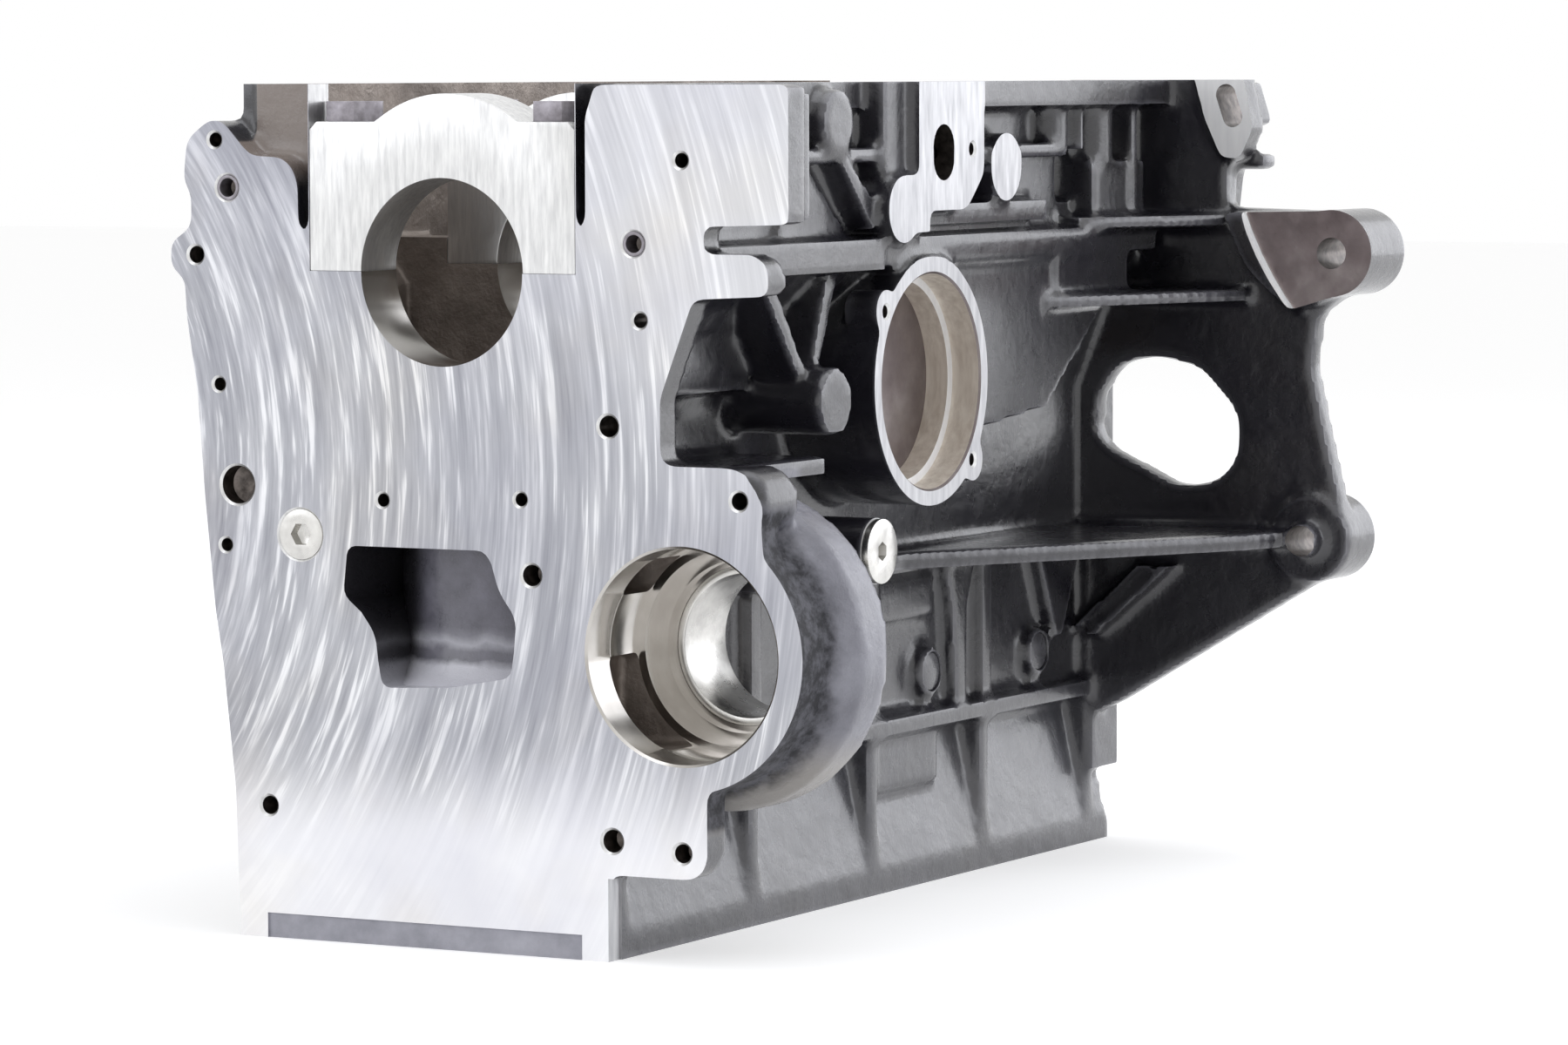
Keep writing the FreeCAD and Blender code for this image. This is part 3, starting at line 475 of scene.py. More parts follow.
def turned(name, axis, centre, profile, material, sides=64):
    """A closed solid of revolution: (distance along the axis, radius) pairs in millimetres."""
    along, first, second = AXIS_FRAMES[axis]
    middle = mm(*centre)
    middle["xyz".index(axis)] = 0
    bm = bmesh.new()
    rings = []
    for distance, radius in profile:
        ring = []
        for step in range(sides):
            turn = 2 * math.pi * step / sides
            around = first * math.cos(turn) + second * math.sin(turn)
            ring.append(bm.verts.new(middle + along * distance * MM + around * radius * MM))
        rings.append(ring)
    for low, high in zip(rings, rings[1:]):
        for step in range(sides):
            after = (step + 1) % sides
            bm.faces.new((low[step], low[after], high[after], high[step]))
    bm.faces.new(list(reversed(rings[0])))
    bm.faces.new(rings[-1])
    return from_bmesh(name, bm, material)


def extruded(name, plane, outline, span, material, bevel=0.0):
    """An outline pushed along the axis across its plane; a bevel rounds all its edges."""
    place = {
        "xz": lambda a, b, c: mm(a, c, b),
        "yz": lambda a, b, c: mm(c, a, b),
    }[plane]
    bm = bmesh.new()
    ends = [[bm.verts.new(place(a, b, level)) for a, b in outline] for level in span]
    bm.faces.new(ends[0])
    bm.faces.new(list(reversed(ends[1])))
    for i in range(len(outline)):
        j = (i + 1) % len(outline)
        bm.faces.new((ends[0][i], ends[0][j], ends[1][j], ends[1][i]))
    thing = from_bmesh(name, bm, material)
    if bevel:
        soften_edges(thing, bevel, 3, 20)
    return thing


def rounded(corners, radius, steps=8):
    """A closed outline with every corner replaced by an arc."""
    points = []
    count = len(corners)
    for i in range(count):
        here = Vector(corners[i])
        before = (Vector(corners[i - 1]) - here).normalized()
        after = (Vector(corners[(i + 1) % count]) - here).normalized()
        half = before.angle(after) / 2
        middle = here + (before + after).normalized() * (radius / math.sin(half))
        start = here + before * (radius / math.tan(half)) - middle
        end = here + after * (radius / math.tan(half)) - middle
        for step in range(steps + 1):
            points.append(tuple(middle + start.lerp(end, step / steps).normalized() * radius))
    return points


def refinish(thing, material, chosen):
    """Gives another material to the chosen faces of a cutter."""
    thing.data.materials.append(material)
    for polygon in thing.data.polygons:
        if chosen(polygon):
            polygon.material_index = len(thing.data.materials) - 1
    return thing


def two_finishes(thing, axis, wall):
    """Gives another material to the faces of a cutter that run along the axis."""
    index = "xyz".index(axis)
    return refinish(thing, wall, lambda polygon: abs(polygon.normal[index]) < 0.5)


def carve(target, cutters):
    """Subtracts every cutter from the target; the cut faces take the cutter's material."""
    group = bpy.data.collections.new("cutters")
    for cutter in cutters:
        group.objects.link(cutter)
    tool = target.modifiers.new("carve", "BOOLEAN")
    tool.operation = "DIFFERENCE"
    tool.solver = "MANIFOLD"
    tool.operand_type = "COLLECTION"
    tool.collection = group
    tool.material_mode = "TRANSFER"
    apply_modifiers(target)
    for cutter in cutters:
        bpy.data.objects.remove(cutter)
    bpy.data.collections.remove(group)
    return target


def welded_copy(node, name):
    """A copy of a CAD node's mesh with its split corners joined again."""
    bm = bmesh.new()
    bm.from_mesh(frame["nodes"][node].data)
    bmesh.ops.remove_doubles(bm, verts=bm.verts, dist=2e-6)
    mesh = bpy.data.meshes.new(name)
    bm.to_mesh(mesh)
    bm.free()
    return new_object(name, mesh)


def shade(thing, angle=35):
    """Smooth shading, with edges sharper than the angle kept crisp."""
    thing.data.shade_smooth()
    bm = bmesh.new()
    bm.from_mesh(thing.data)
    limit = math.radians(angle)
    for edge in bm.edges:
        edge.smooth = len(edge.link_faces) == 2 and edge.calc_face_angle(0.0) < limit
    bm.to_mesh(thing.data)
    bm.free()


def edge_loops(edges):
    """The corners of each group of connected edges, in millimetres."""
    loops = []
    unused = dict.fromkeys(edges)
    while unused:
        start, _ = unused.popitem()
        spots = dict.fromkeys(start.verts)
        front = list(start.verts)
        while front:
            vertex = front.pop()
            for edge in vertex.link_edges:
                if edge not in unused:
                    continue
                del unused[edge]
                for other in edge.verts:
                    if other not in spots:
                        spots[other] = None
                        front.append(other)
        loops.append([vertex.co.copy() / MM for vertex in spots])
    return loops


def find_rims(thing, axis, level):
    """Circles in one plane of a mesh, such as the mouths of drilled holes: centre and radius."""
    bm = bmesh.new()
    bm.from_mesh(thing.data)
    index = "xyz".index(axis)
    rim_edges = []
    for edge in bm.edges:
        if any(abs(vertex.co[index] - level * MM) > 1e-6 for vertex in edge.verts):
            continue
        facing = [abs(face.normal[index]) > 0.99 for face in edge.link_faces]
        if len(facing) == 2 and facing[0] != facing[1]:
            rim_edges.append(edge)
    loops = edge_loops(rim_edges)
    bm.free()
    rims = []
    for spots in loops:
        if len(spots) < 16:
            continue
        centre = sum(spots, Vector()) / len(spots)
        spans = [(spot - centre).length for spot in spots]
        if max(spans) - min(spans) < 0.05 * max(spans):
            rims.append((centre, sum(spans) / len(spans)))
    return sorted(rims, key=lambda rim: (round(rim[0].x, 2), round(rim[0].z, 2)))


def small(rims):
    """The rims of drilled holes, without those of bores and bosses."""
    return [rim for rim in rims if rim[1] < LARGEST_DRILL]


def level_with(value, level):
    """Whether a coordinate in millimetres lies on a level of the CAD model."""
    return abs(value - level) < 0.01


# ---------------------------------------------------------------- the casting

# how far a machined face is moved out before it is cut back, and what a filler has around a hole
ALLOWANCE = 5.0
MARGIN = 0.6

# machined pads on the accessory side: face height X, and the Y and Z limits of the pad
SLOTTED_FACE = 112.0
PORT_FACE = 110.0
PADS = {
    "slotted_pad": (SLOTTED_FACE, (143, 229), (6, 80)),
    "round_pad": (107.0, (242, 272), (21, 51)),
    "side_port": (PORT_FACE, (135, 236), (-97, 4.5)),
    "gallery_boss": (104.0, (134, 164), (-125, -96)),
}

# faces of the flywheel flange that are cut from the front: the level Y, and outlines of X and Z
CORNER_PAD_Y = REAR - 27
CORNER_PAD = [(118, RAIL + 3), (148, RAIL + 3), (153, 50), (147, 34), (134, 34), (127, 42),
              (123, 55)]
SPOT_FACE_Y = REAR - 35
SPOT_FACE = [(149, 18), (212, 26), (212, -30), (176, -30), (168, -19.5), (162.5, -11),
             (157.5, -2), (153, 7.5)]
SPOT_EDGE = [(147.6, 19.5), (214, 28), (214, -32), (174.5, -31.5), (166.8, -20.5), (161.2, -11.9),
             (156.1, -2.7), (151.6, 7.0)]
OBLONG_HOLE = [(131.1, 66.4), (139.5, 69.5), (145.4, 52.1), (137.0, 49.0)]

# the flange beyond FLANGE_X, its corner above CORNER_Z, and the neck of the starter lug
FLANGE_X = 118
CORNER_Z = 30
LUG_X = 138
LUG_NECK_Y = REAR - 37.5
LUG_NECK_SHIFT = -1.5

# the accessory side's edge at the deck, and the axis of the large side port
DECK_EDGE = 71.0
PORT_Y, PORT_Z = 185.5, -46.5

# radii of the bores, and half the width of the register that holds the caps
CYLINDER_RADIUS = 42
MAIN_RADIUS = 35
SEAL_RADIUS = 50
PORT_RADIUS = 42
REGISTER = 57.7

# drilled holes: the largest radius, the chamfer, depths, and how far out the cap bolts stand
LARGEST_DRILL = 12
CHAMFER = 0.9
DECK_DEPTH = 60
RAIL_DEPTH = 16
BOLT_X, BOLT_RADIUS = 45, 6.1

# how far out the coolant slots of the deck lie, and where cutters start outside the casting
COOLANT_X = 51
BELOW_DECK = DECK - 9
ABOVE_RAIL = RAIL + 30


def on_pad(spot):
    """Whether a corner of the casting lies on one of the side's machined pads."""
    for face, (y_low, y_high), (z_low, z_high) in PADS.values():
        inside = y_low < spot.y < y_high and z_low < spot.z < z_high
        if inside and level_with(spot.x, face):
            return True
    return False


def add_allowance(thing):
    """Moves every machined face outwards, so that it can be cut back flat and sharp-edged later."""
    for vertex in thing.data.vertices:
        spot = vertex.co / MM
        shift = Vector((0, 0, 0))
        if level_with(spot.y, FRONT):
            shift.y = -ALLOWANCE
        if level_with(spot.y, REAR):
            shift.y = ALLOWANCE
        if level_with(spot.z, DECK):
            shift.z = -ALLOWANCE
        if level_with(spot.z, RAIL):
            shift.z = ALLOWANCE
        if on_pad(spot):
            shift.x = ALLOWANCE
        on_corner = level_with(spot.y, CORNER_PAD_Y) and spot.z > CORNER_Z
        if spot.x > FLANGE_X and (on_corner or level_with(spot.y, SPOT_FACE_Y)):
            shift.y = -ALLOWANCE
        if spot.x > LUG_X and level_with(spot.y, LUG_NECK_Y):
            shift.y = LUG_NECK_SHIFT
        vertex.co += shift * MM


def hole_end(thing, axis, centre, radius, forward=1):
    """How far along the axis the wall of a round hole reaches."""
    index = "xyz".index(axis)
    reach = []
    for vertex in thing.data.vertices:
        spot = vertex.co / MM - centre
        along = spot[index] * forward
        spot[index] = 0
        if abs(spot.length - radius) < 0.03 and along > 0.5:
            reach.append(along)
    return max(reach, default=10.0)


# the drilled holes of the CAD model: centre, radius and, where it differs, depth
CAST = welded_copy("engine_block", "cast_reference")
FRONT_RIMS = find_rims(CAST, "y", FRONT)
FRONT_HOLES = [(centre, radius, hole_end(CAST, "y", centre, radius))
               for centre, radius in small(FRONT_RIMS)]
DECK_HOLES = small(find_rims(CAST, "z", DECK))
RAIL_HOLES = small(find_rims(CAST, "z", RAIL))
LUG_HOLES = small(find_rims(CAST, "y", REAR))
PAD_HOLES = [(centre, radius, hole_end(CAST, "x", centre, radius, -1))
             for face in sorted({pad[0] for pad in PADS.values()})
             for centre, radius in small(find_rims(CAST, "x", face))]
bpy.data.objects.remove(CAST)

ACCESSORY_CENTRE = max(FRONT_RIMS, key=lambda rim: rim[1])[0]
PLUGS_LOW, PLUGS_HIGH = (Vector(corner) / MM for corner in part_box("core_plugs"))
CORE_PLUG_Z = (PLUGS_LOW.z + PLUGS_HIGH.z) / 2
CORE_PLUG_RADIUS = (PLUGS_HIGH.z - PLUGS_LOW.z) / 2
CORE_BOSS_FACE = PLUGS_HIGH.x + 0.6


def plug(name, axis, centre, radius, start, end, sides=24):
    """A round filler, a little wider than the hole that it closes."""
    profile = [(start, radius + MARGIN), (end, radius + MARGIN)]
    return turned(name, axis, centre, profile, RAW, sides)


def fillers():
    """Solids that close every machined hole and the whole inside of the rough casting."""
    front, rear = FRONT - ALLOWANCE, REAR + ALLOWANCE
    deck, rail = DECK - ALLOWANCE, RAIL + ALLOWANCE
    inside = [
        block("fill_barrels", (-58, 60), (10, 420), (DECK + 3, -56), RAW),
        block("fill_sweep", (-80, 62), (10, 420), (-60, -10), RAW),
        block("fill_crankcase", (-88, 86), (12, 420), (-12, rail), RAW),
        block("fill_front_bay", (60, 79), (30, 92), (-46, -10), RAW),
        block("fill_notch", (-58, 58), (front, rear), (-40, rail), RAW),
        block("fill_window", (-46, 33), (front, 46), (-158, -101), RAW),
        block("fill_upper_port", (56, 82), (14, 40), (-121, -102), RAW),
        block("fill_lower_port", (52, 92), (14, 40), (-178, -140), RAW),
        block("fill_pad_slot", (84, SLOTTED_FACE + ALLOWANCE), (182, 202), (31, 54), RAW),
        extruded("fill_oblong", "xz", [(131, 66.5), (140, 69.5), (145.5, 52), (136.5, 49)],
                 (CORNER_PAD_Y - ALLOWANCE, rear), RAW),
        block("fill_band", (-80, 60), (front, 3), (deck, DECK + 10), RAW),
        turned("fill_accessory", "y", ACCESSORY_CENTRE,
               [(front, 40.2), (45, 40.2), (46, 36), (60, 31), (83, 31)], RAW),
        turned("fill_port", "x", (0, PORT_Y, PORT_Z),
               [(88, PORT_RADIUS + 0.5), (PORT_FACE + ALLOWANCE, PORT_RADIUS + 0.5)], RAW),
        turned("fill_main", "y", (0, 0, 0),
               [(front, MAIN_RADIUS + 1), (REAR - 10, MAIN_RADIUS + 1),
                (REAR - 10, SEAL_RADIUS + 1), (rear, SEAL_RADIUS + 1)], RAW),
    ]
    for n, y in enumerate(CYLINDER_Y):
        inside.append(plug("fill_core_plug_%d" % n, "x", (0, y, CORE_PLUG_Z), CORE_PLUG_RADIUS,
                           CORE_BOSS_FACE - 9, CORE_BOSS_FACE + 0.5, 32))
    for n, (centre, radius, depth) in enumerate(FRONT_HOLES):
        inside.append(plug("fill_front_%d" % n, "y", centre, radius, front, depth))
    for n, (centre, radius, depth) in enumerate(PAD_HOLES):
        inside.append(plug("fill_pad_%d" % n, "x", centre, radius,
                           centre.x - depth, centre.x + ALLOWANCE))
    for n, (centre, radius) in enumerate(DECK_HOLES):
        inside.append(plug("fill_deck_%d" % n, "z", centre, radius, deck, DECK + DECK_DEPTH))
    for n, y in enumerate(CYLINDER_Y):
        inside.append(turned("fill_bore_%d" % n, "z", (0, y, 0),
                             [(deck, CYLINDER_RADIUS + 0.5), (DECK + 20, CYLINDER_RADIUS + 0.5)],
                             RAW))
        for side in (-1, 1):
            middle = side * COOLANT_X
            inside.append(block("fill_slot_%d_%d" % (n, side), (middle - 4, middle + 4),
                                (y - 10, y + 10), (deck, DECK + 14), RAW))
        inside.append(block("fill_return_%d" % n, (-79, -66), (y - 21, y + 21), (deck, -39), RAW))
    for n, (centre, radius) in enumerate(RAIL_HOLES):
        inside.append(plug("fill_rail_%d" % n, "z", centre, radius, RAIL - RAIL_DEPTH - 1, rail))
    for n, (centre, radius) in enumerate(LUG_HOLES):
        inside.append(plug("fill_lug_%d" % n, "y", centre, radius, REAR - 38, rear))
    return inside


def join(target, others):
    """Joins the meshes of other objects into the target's, without fusing them."""
    bm = bmesh.new()
    bm.from_mesh(target.data)
    for other in others:
        bm.from_mesh(other.data)
        bpy.data.objects.remove(other)
    bm.to_mesh(target.data)
    bm.free()
    return target


def soft_cast(thing, voxel, rounds, triangles):
    """Turns sharp solids into one casting with rounded edges and filled inner corners."""
    remesh = thing.modifiers.new("remesh", "REMESH")
    remesh.mode = "VOXEL"
    remesh.voxel_size = voxel * MM
    smooth = thing.modifiers.new("smooth", "SMOOTH")
    smooth.factor = 0.5
    smooth.iterations = rounds
    apply_modifiers(thing)
    reduce = thing.modifiers.new("reduce", "DECIMATE")
    reduce.ratio = min(1.0, triangles / (2 * len(thing.data.polygons)))
    apply_modifiers(thing)
    thing.data.materials.clear()
    thing.data.materials.append(PAINT)
    return thing


def drilled(name, axis, centre, radius, face, end, outward):
    """A drill: from above the face down to its end, with a chamfer at the mouth."""
    profile = [
        (face + outward * 8, radius + CHAMFER), (face, radius + CHAMFER),
        (face - outward * CHAMFER, radius), (end + outward * radius * 0.5, radius),
        (end, radius * 0.15),
    ]
    if outward > 0:
        profile.reverse()
    index = "xyz".index(axis)

    def on_chamfer(polygon):
        level = polygon.center[index] / MM
        return 0.3 < abs(polygon.normal[index]) < 0.95 and abs(level - face) < CHAMFER

    return refinish(turned(name, axis, centre, profile, HOLE, 40), GROUND, on_chamfer)


def window_cutter():
    """The cast pocket in the front face, with the first barrel standing in it."""
    outline = [(-42, -103), (18, -103), (21, -108), (24, -118), (31.5, -128), (30.5, -140),
               (29, -150), (2, -154.8), (-27, -156), (-28.8, -146), (-30, -136), (-36, -128),
               (-44, -121.5)]
    room = extruded("window_room", "xz", outline, (-14, 44), POCKET, 3.5)
    barrel = [(-175, 58), (-157, 58), (-153, 52.5), (-148, 49.2), (-140, 47.5), (-90, 47.5)]
    carve(room, [turned("window_barrel", "z", (0, CYLINDER_Y[0], 0), barrel, POCKET, 96)])
    return room


def machining():
    """The volumes beyond the machined faces, each with the finish that it leaves."""
    far = 600
    cuts = [
        block("plane_front", (-far, far), (-far, FRONT), (-far, far), MILLED),
        block("plane_rear", (-far, far), (REAR, far), (-far, far), MILLED),
        block("plane_deck", (-far, far), (-far, far), (-far, DECK), PAD),
        block("plane_rail", (-far, far), (-far, far), (RAIL, far), PAD),
    ]
    for name, (face, y_span, z_span) in PADS.items():
        cuts.append(block("plane_" + name, (face, face + 40), y_span, z_span, PAD))
    corner = (CORNER_PAD_Y - 14, CORNER_PAD_Y)
    spot = extruded("plane_spot", "xz", SPOT_FACE, (SPOT_FACE_Y - 20, SPOT_FACE_Y), WORN)
    edge = (SPOT_FACE_Y - 20, SPOT_FACE_Y - 1.2)
    through = (CORNER_PAD_Y - 20, REAR + 20)
    return cuts + [
        extruded("plane_corner", "xz", CORNER_PAD, corner, PALE),
        two_finishes(spot, "y", GROUND),
        extruded("spot_edge", "xz", SPOT_EDGE, edge, PALE),
        extruded("oblong_hole", "xz", rounded(OBLONG_HOLE, 4.3), through, HOLE),
        block("corner_flat", (DECK_EDGE - 0.8, DECK_EDGE + 9), (-9, 8.5), (BELOW_DECK, -222.5),
              PAD),
        block("foundry_band", (-79, 59), (-9, 1), (BELOW_DECK, DECK + 9.5), BAND),
    ]


def port_cutter():
    """The large side port: a warm wall with a pale step, over a brown floor."""
    flare = 0.8
    profile = [(87.5, 20), (87.5, 39), (97, 39), (97.6, PORT_RADIUS),
               (PORT_FACE - flare, PORT_RADIUS), (PORT_FACE, PORT_RADIUS + flare),
               (PORT_FACE + 14, PORT_RADIUS + flare)]
    port = turned("port_bore", "x", (0, PORT_Y, PORT_Z), profile, PORT_FLOOR, 128)
    two_finishes(port, "x", PORT_WALL)

    def on_step(polygon):
        return abs(polygon.normal.x) > 0.5 and 0.095 < polygon.center.x < 0.1

    return refinish(port, PALE, on_step)


def pad_slot_cutter():
    """The slot in the upper side pad: two half circles, 4 mm apart."""
    outline = []
    for degrees in range(0, 360, 15):
        turn = math.radians(degrees)
        middle = 44.5 if degrees <= 180 else 40.5
        outline.append((192 + 9 * math.cos(turn), middle + 9 * math.sin(turn)))
    return extruded("pad_slot", "yz", outline, (86, 124), HOLE)


def bores():
    """The bores, the crankcase and the passages, in the order in which they are cut."""
    ends = (FRONT - 20, REAR + 20)
    trough = [(-84, 10), (84, 10), (84, ABOVE_RAIL), (-84, ABOVE_RAIL)]
    cuts = [
        block("register", (-REGISTER, REGISTER), ends, (0, RAIL + 20), GROUND),
        turned("main_bore", "y", (0, 0, 0), [(end, MAIN_RADIUS) for end in ends], BORED, 128),
        turned("seal_recess", "y", (0, 0, 0), [(REAR - 9, SEAL_RADIUS), (REAR + 20, SEAL_RADIUS)],
               BORED, 96),
        extruded("trough", "xz", trough, (14, REAR - 12), RAW, 4),
    ]
    sweep = [(-84, ABOVE_RAIL), (-84, 2), (-76, -8), (-76, -38), (-46, -76), (46, -76), (76, -38),
             (76, -8), (84, 2), (84, ABOVE_RAIL)]
    barrel = [(BELOW_DECK, CYLINDER_RADIUS + 0.6), (DECK, CYLINDER_RADIUS + 0.6),
              (DECK + 0.6, CYLINDER_RADIUS), (-60, CYLINDER_RADIUS)]
    core_seat = [(PLUGS_LOW.x - 0.2, CORE_PLUG_RADIUS + 0.2),
                 (CORE_BOSS_FACE - 0.8, CORE_PLUG_RADIUS + 0.2),
                 (CORE_BOSS_FACE + 3, CORE_PLUG_RADIUS + 2)]
    for n, y in enumerate(CYLINDER_Y):
        bay = (BEARING_PITCH * n + BEARING_WIDTH, BEARING_PITCH * (n + 1))
        # the first bay is narrower, beside the accessory housing
        shape = [(min(x, 64), z) for x, z in sweep] if n == 0 else sweep
        cuts.append(extruded("crank_bay_%d" % n, "xz", shape, bay, RAW, 6 if n else 2))
        cuts.append(turned("cylinder_bore_%d" % n, "z", (0, y, 0), barrel, BORED, 96))
        for side in (-1, 1):
            middle = side * COOLANT_X
            cuts.append(block("coolant_slot_%d_%d" % (n, side), (middle - 2.5, middle + 2.5),
                              (y - 9, y + 9), (BELOW_DECK, DECK + 13), RAW))
        cuts.append(block("oil_return_%d" % n, (-78, -67), (y - 20, y + 20), (BELOW_DECK, -40),
                          RAW))
        cuts.append(turned("core_seat_%d" % n, "x", (0, y, CORE_PLUG_Z), core_seat, PAINT, 48))
    accessory = [(-9, 40.6), (0, 40.6), (0.9, 39.7), (17, 39.7), (17.6, 40.1), (18.4, 40.1),
                 (19, 39.7), (38, 39.7), (38, 36.5), (48, 36.5), (48, 32.5), (51, 32.5), (51, 30),
                 (92, 30)]
    upper_port = [(54, -119), (82, -119), (82, -104), (54, -104)]
    lower_port = [(54, -176), (91, -176), (91, -142), (54, -142)]
    return cuts + [
        turned("accessory_bore", "y", ACCESSORY_CENTRE, accessory, BORED, 128),
        extruded("accessory_port_upper", "xz", upper_port, (16, 38), RAW, 3),
        extruded("accessory_port_lower", "xz", lower_port, (16, 38), RAW, 3),
        port_cutter(),
        pad_slot_cutter(),
    ]


def drill_holes():
    """The drills of every face, and the holes for the cap bolts."""
    cuts = []
    for n, (centre, radius, depth) in enumerate(FRONT_HOLES):
        cuts.append(drilled("front_hole_%d" % n, "y", centre, radius, FRONT, depth, -1))
    for n, (centre, radius, depth) in enumerate(PAD_HOLES):
        cuts.append(drilled("pad_hole_%d" % n, "x", centre, radius, centre.x, centre.x - depth, 1))
    for n, (centre, radius) in enumerate(DECK_HOLES):
        cuts.append(drilled("deck_hole_%d" % n, "z", centre, radius, DECK, DECK + DECK_DEPTH, -1))
    for n, (centre, radius) in enumerate(RAIL_HOLES):
        cuts.append(drilled("rail_hole_%d" % n, "z", centre, radius, RAIL, RAIL - RAIL_DEPTH, 1))
    for n, (centre, radius) in enumerate(LUG_HOLES):
        cuts.append(turned("lug_hole_%d" % n, "y", centre,
                           [(REAR - 60, radius), (REAR + 9, radius)], HOLE, 40))
    for n, y in enumerate(BEARING_Y):
        for side in (-BOLT_X, BOLT_X):
            cuts.append(turned("bolt_hole_%d_%d" % (n, side), "z", (side, y, 0),
                               [(-45, BOLT_RADIUS), (4, BOLT_RADIUS)], HOLE, 32))
    return cuts


def casting():
    skin = welded_copy("engine_block", "engine_block_casting")
    add_allowance(skin)
    join(skin, fillers())
    soft_cast(skin, voxel=2.0, rounds=4, triangles=150000)
    carve(skin, machining())
    carve(skin, bores())
    carve(skin, [window_cutter()])
    carve(skin, drill_holes())
    shade(skin)
    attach(skin, "root")
    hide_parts("engine_block")
    return skin


casting()


# ---------------------------------------------------------------- separate pieces

def bevelled_copy(node, name, material, width):
    """A CAD node with its sharp edges broken, as a finished piece."""
    thing = soften_edges(welded_copy(node, name), width, 2, 40)
    thing.data.materials.clear()
    thing.data.materials.append(material)
    shade(thing, 40)
    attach(thing, "root")
    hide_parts(node)
    return thing


for n in range(1, len(BEARING_Y) + 1):
    bevelled_copy("main_bearing_cap_%d" % n, "bearing_cap_%d" % n, GROUND, 0.5)
bevelled_copy("main_bearing_bolts", "cap_bolts", DARK, 0.4)
bevelled_copy("core_plugs", "core_plug_discs", PAINT, 0.8)
bevelled_copy("side_gallery_plug", "side_plug", PLATED, 0.3)
bevelled_copy("front_gallery_plug", "front_plug", PLATED, 0.3)
bevelled_copy("accessory_shaft_bush", "shaft_bush", PLATED, 0.4)
bevelled_copy("timing_cover_dowels", "cover_dowels", DARK, 0.3)


# ---------------------------------------------------------------- studio

def seen_directly(n):
    """1 for rays from the camera, mirrored or let through; 0 for those that carry light."""
    path = n.add("ShaderNodeLightPath")
    direct = n.math("MAXIMUM", path.outputs["Is Camera Ray"], path.outputs["Is Glossy Ray"])
    return n.math("MAXIMUM", direct, path.outputs["Is Transmission Ray"])


def studio_floor():
    """A pale floor that runs out to the backdrop, white where it is seen, with a soft shadow."""
    n = Nodes("studio_white")
    n.set(Base_Color=(0.8, 0.8, 0.8, 1), Roughness=0.9)
    glow = n.add("ShaderNodeEmission")
    glow.inputs["Strength"].default_value = 0.72
    lift = n.add("ShaderNodeMixShader")
    n.link(n.product(seen_directly(n), 0.62), lift.inputs[0])
    n.link(n.shader.outputs["BSDF"], lift.inputs[1])
    lit = n.add("ShaderNodeAddShader")
    n.link(n.shader.outputs["BSDF"], lit.inputs[0])
    n.link(glow.outputs["Emission"], lit.inputs[1])
    n.link(lit.outputs["Shader"], lift.inputs[2])
    n.link(lift.outputs["Shader"], n.tree.nodes["Material Output"].inputs["Surface"])
    bm = bmesh.new()
    size = 9.0
    spots = ((-size, -size), (size, -size), (size, size), (-size, size))
    bm.faces.new([bm.verts.new((x, y, DECK * MM)) for x, y in spots])
    floor = from_bmesh("studio_floor", bm, n.material)


def studio_light(name, place, target, size, power):
    """A softbox that points at its target, in metres and watts."""
    lamp = bpy.data.lights.new(name, "AREA")
    lamp.shape = "RECTANGLE"
    lamp.size, lamp.size_y = size
    lamp.energy = power
    lamp.color = (0.92, 0.94, 1.0)
    thing = bpy.data.objects.new(name, lamp)
    thing.visible_camera = False
    thing.location = place
    thing.rotation_euler = (Vector(target) - Vector(place)).to_track_quat("-Z", "Y").to_euler()
    bpy.context.scene.collection.objects.link(thing)


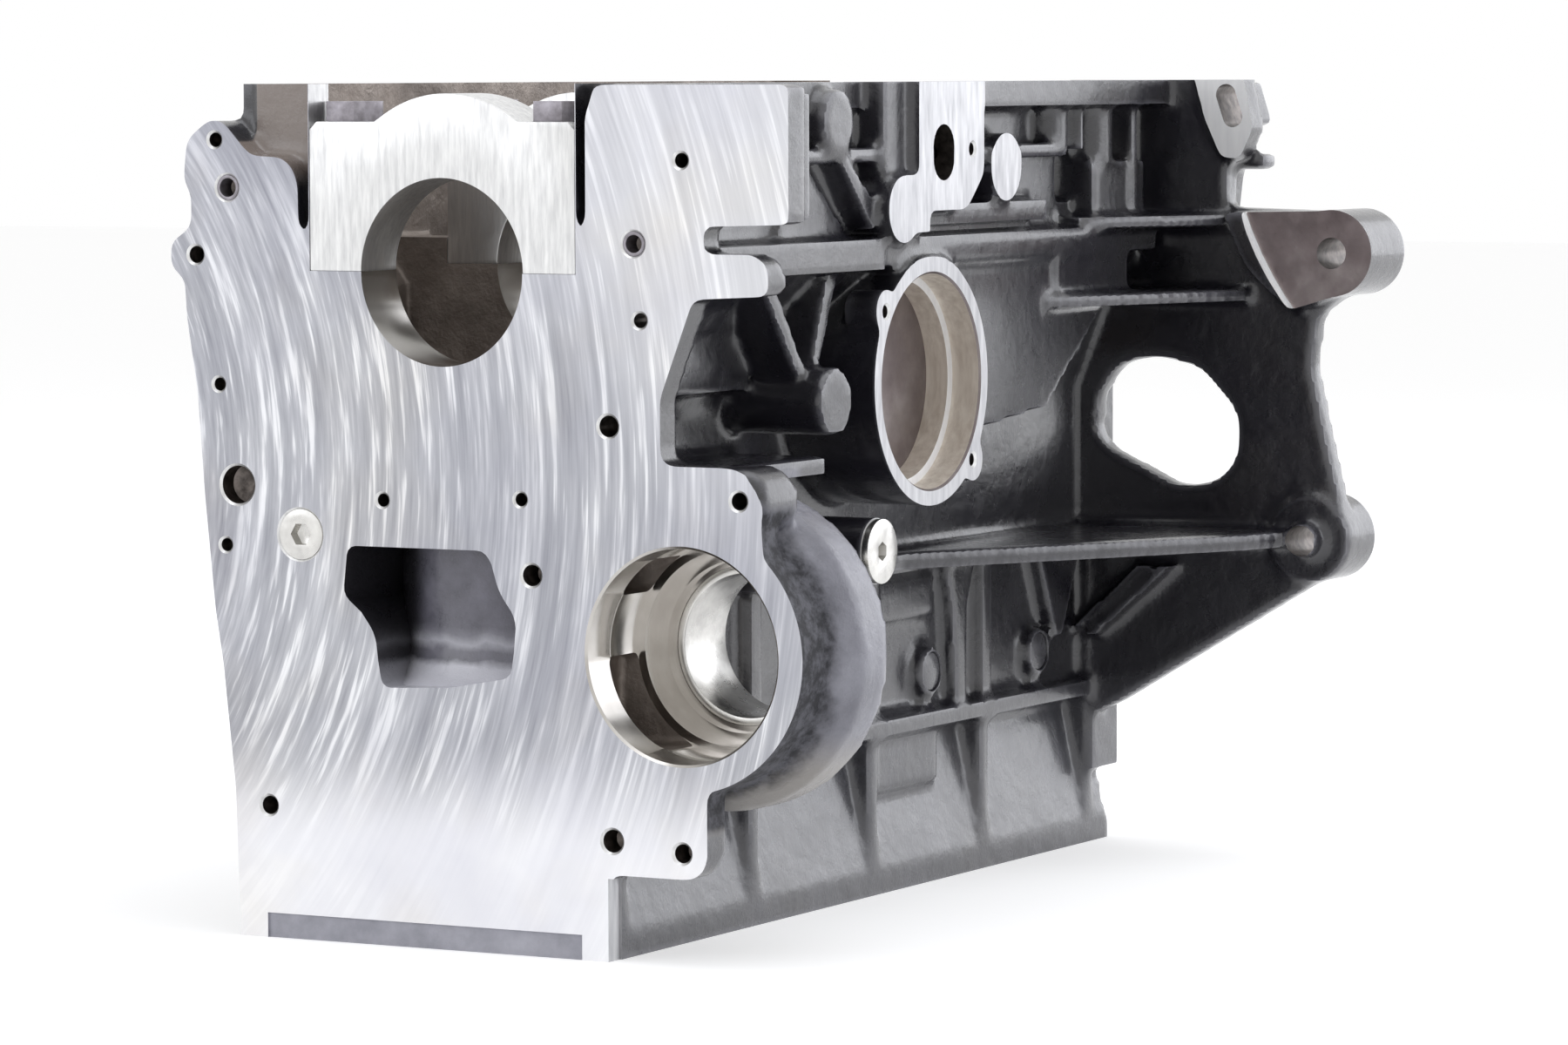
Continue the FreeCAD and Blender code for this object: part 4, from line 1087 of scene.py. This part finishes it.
def world():
    """A white room: full white where it is seen or mirrored, softer for the light that it sheds."""
    scene_world = bpy.data.worlds.new("studio")
    scene_world.use_nodes = True
    tree = scene_world.node_tree
    background = tree.nodes["Background"]
    background.inputs["Color"].default_value = (1, 1, 1, 1)
    path = tree.nodes.new("ShaderNodeLightPath")
    direct = tree.nodes.new("ShaderNodeMath")
    direct.operation = "MAXIMUM"
    tree.links.new(path.outputs["Is Camera Ray"], direct.inputs[0])
    tree.links.new(path.outputs["Is Glossy Ray"], direct.inputs[1])
    strength = tree.nodes.new("ShaderNodeMapRange")
    strength.inputs["To Min"].default_value = 0.6
    strength.inputs["To Max"].default_value = 1.0
    tree.links.new(direct.outputs["Value"], strength.inputs["Value"])
    tree.links.new(strength.outputs["Result"], background.inputs["Strength"])
    bpy.context.scene.world = scene_world


def camera():
    """The photograph's camera, worked out from points of the object whose places are known."""
    yaw, pitch, roll = (math.radians(angle) for angle in (28.336, 4.136, -0.179))
    forward = Vector((-math.sin(yaw) * math.cos(pitch), math.cos(yaw) * math.cos(pitch),
                      -math.sin(pitch)))
    level = Vector((math.cos(yaw), math.sin(yaw), 0))
    upright = level.cross(forward)
    right = math.cos(roll) * level + math.sin(roll) * upright
    up = math.cos(roll) * upright - math.sin(roll) * level
    lens = bpy.data.cameras.new("camera")
    lens.lens = 144
    lens.sensor_width = 36
    lens.sensor_fit = "HORIZONTAL"
    thing = bpy.data.objects.new("camera", lens)
    matrix = Matrix((right, up, -forward)).transposed().to_4x4()
    matrix.translation = Vector((1.21709, -1.98941, 0.0750))
    thing.matrix_world = matrix
    bpy.context.scene.collection.objects.link(thing)
    bpy.context.scene.camera = thing


studio_floor()
world()
studio_light("softbox_left", (-1.6, -1.9, 0.9), (0, 0.1, -0.1), (1.6, 1.6), 10)
studio_light("softbox_top", (0.2, 0.2, 1.9), (0, 0.2, 0), (1.8, 1.8), 14)
studio_light("softbox_right", (2.2, 0.9, 0.7), (0.1, 0.2, -0.1), (1.2, 1.6), 12)
studio_light("softbox_back", (1.35, 2.5, 0.6), (0.08, 0.2, -0.05), (2.4, 1.6), 20)
camera()
bpy.context.scene.view_settings.view_transform = "Standard"
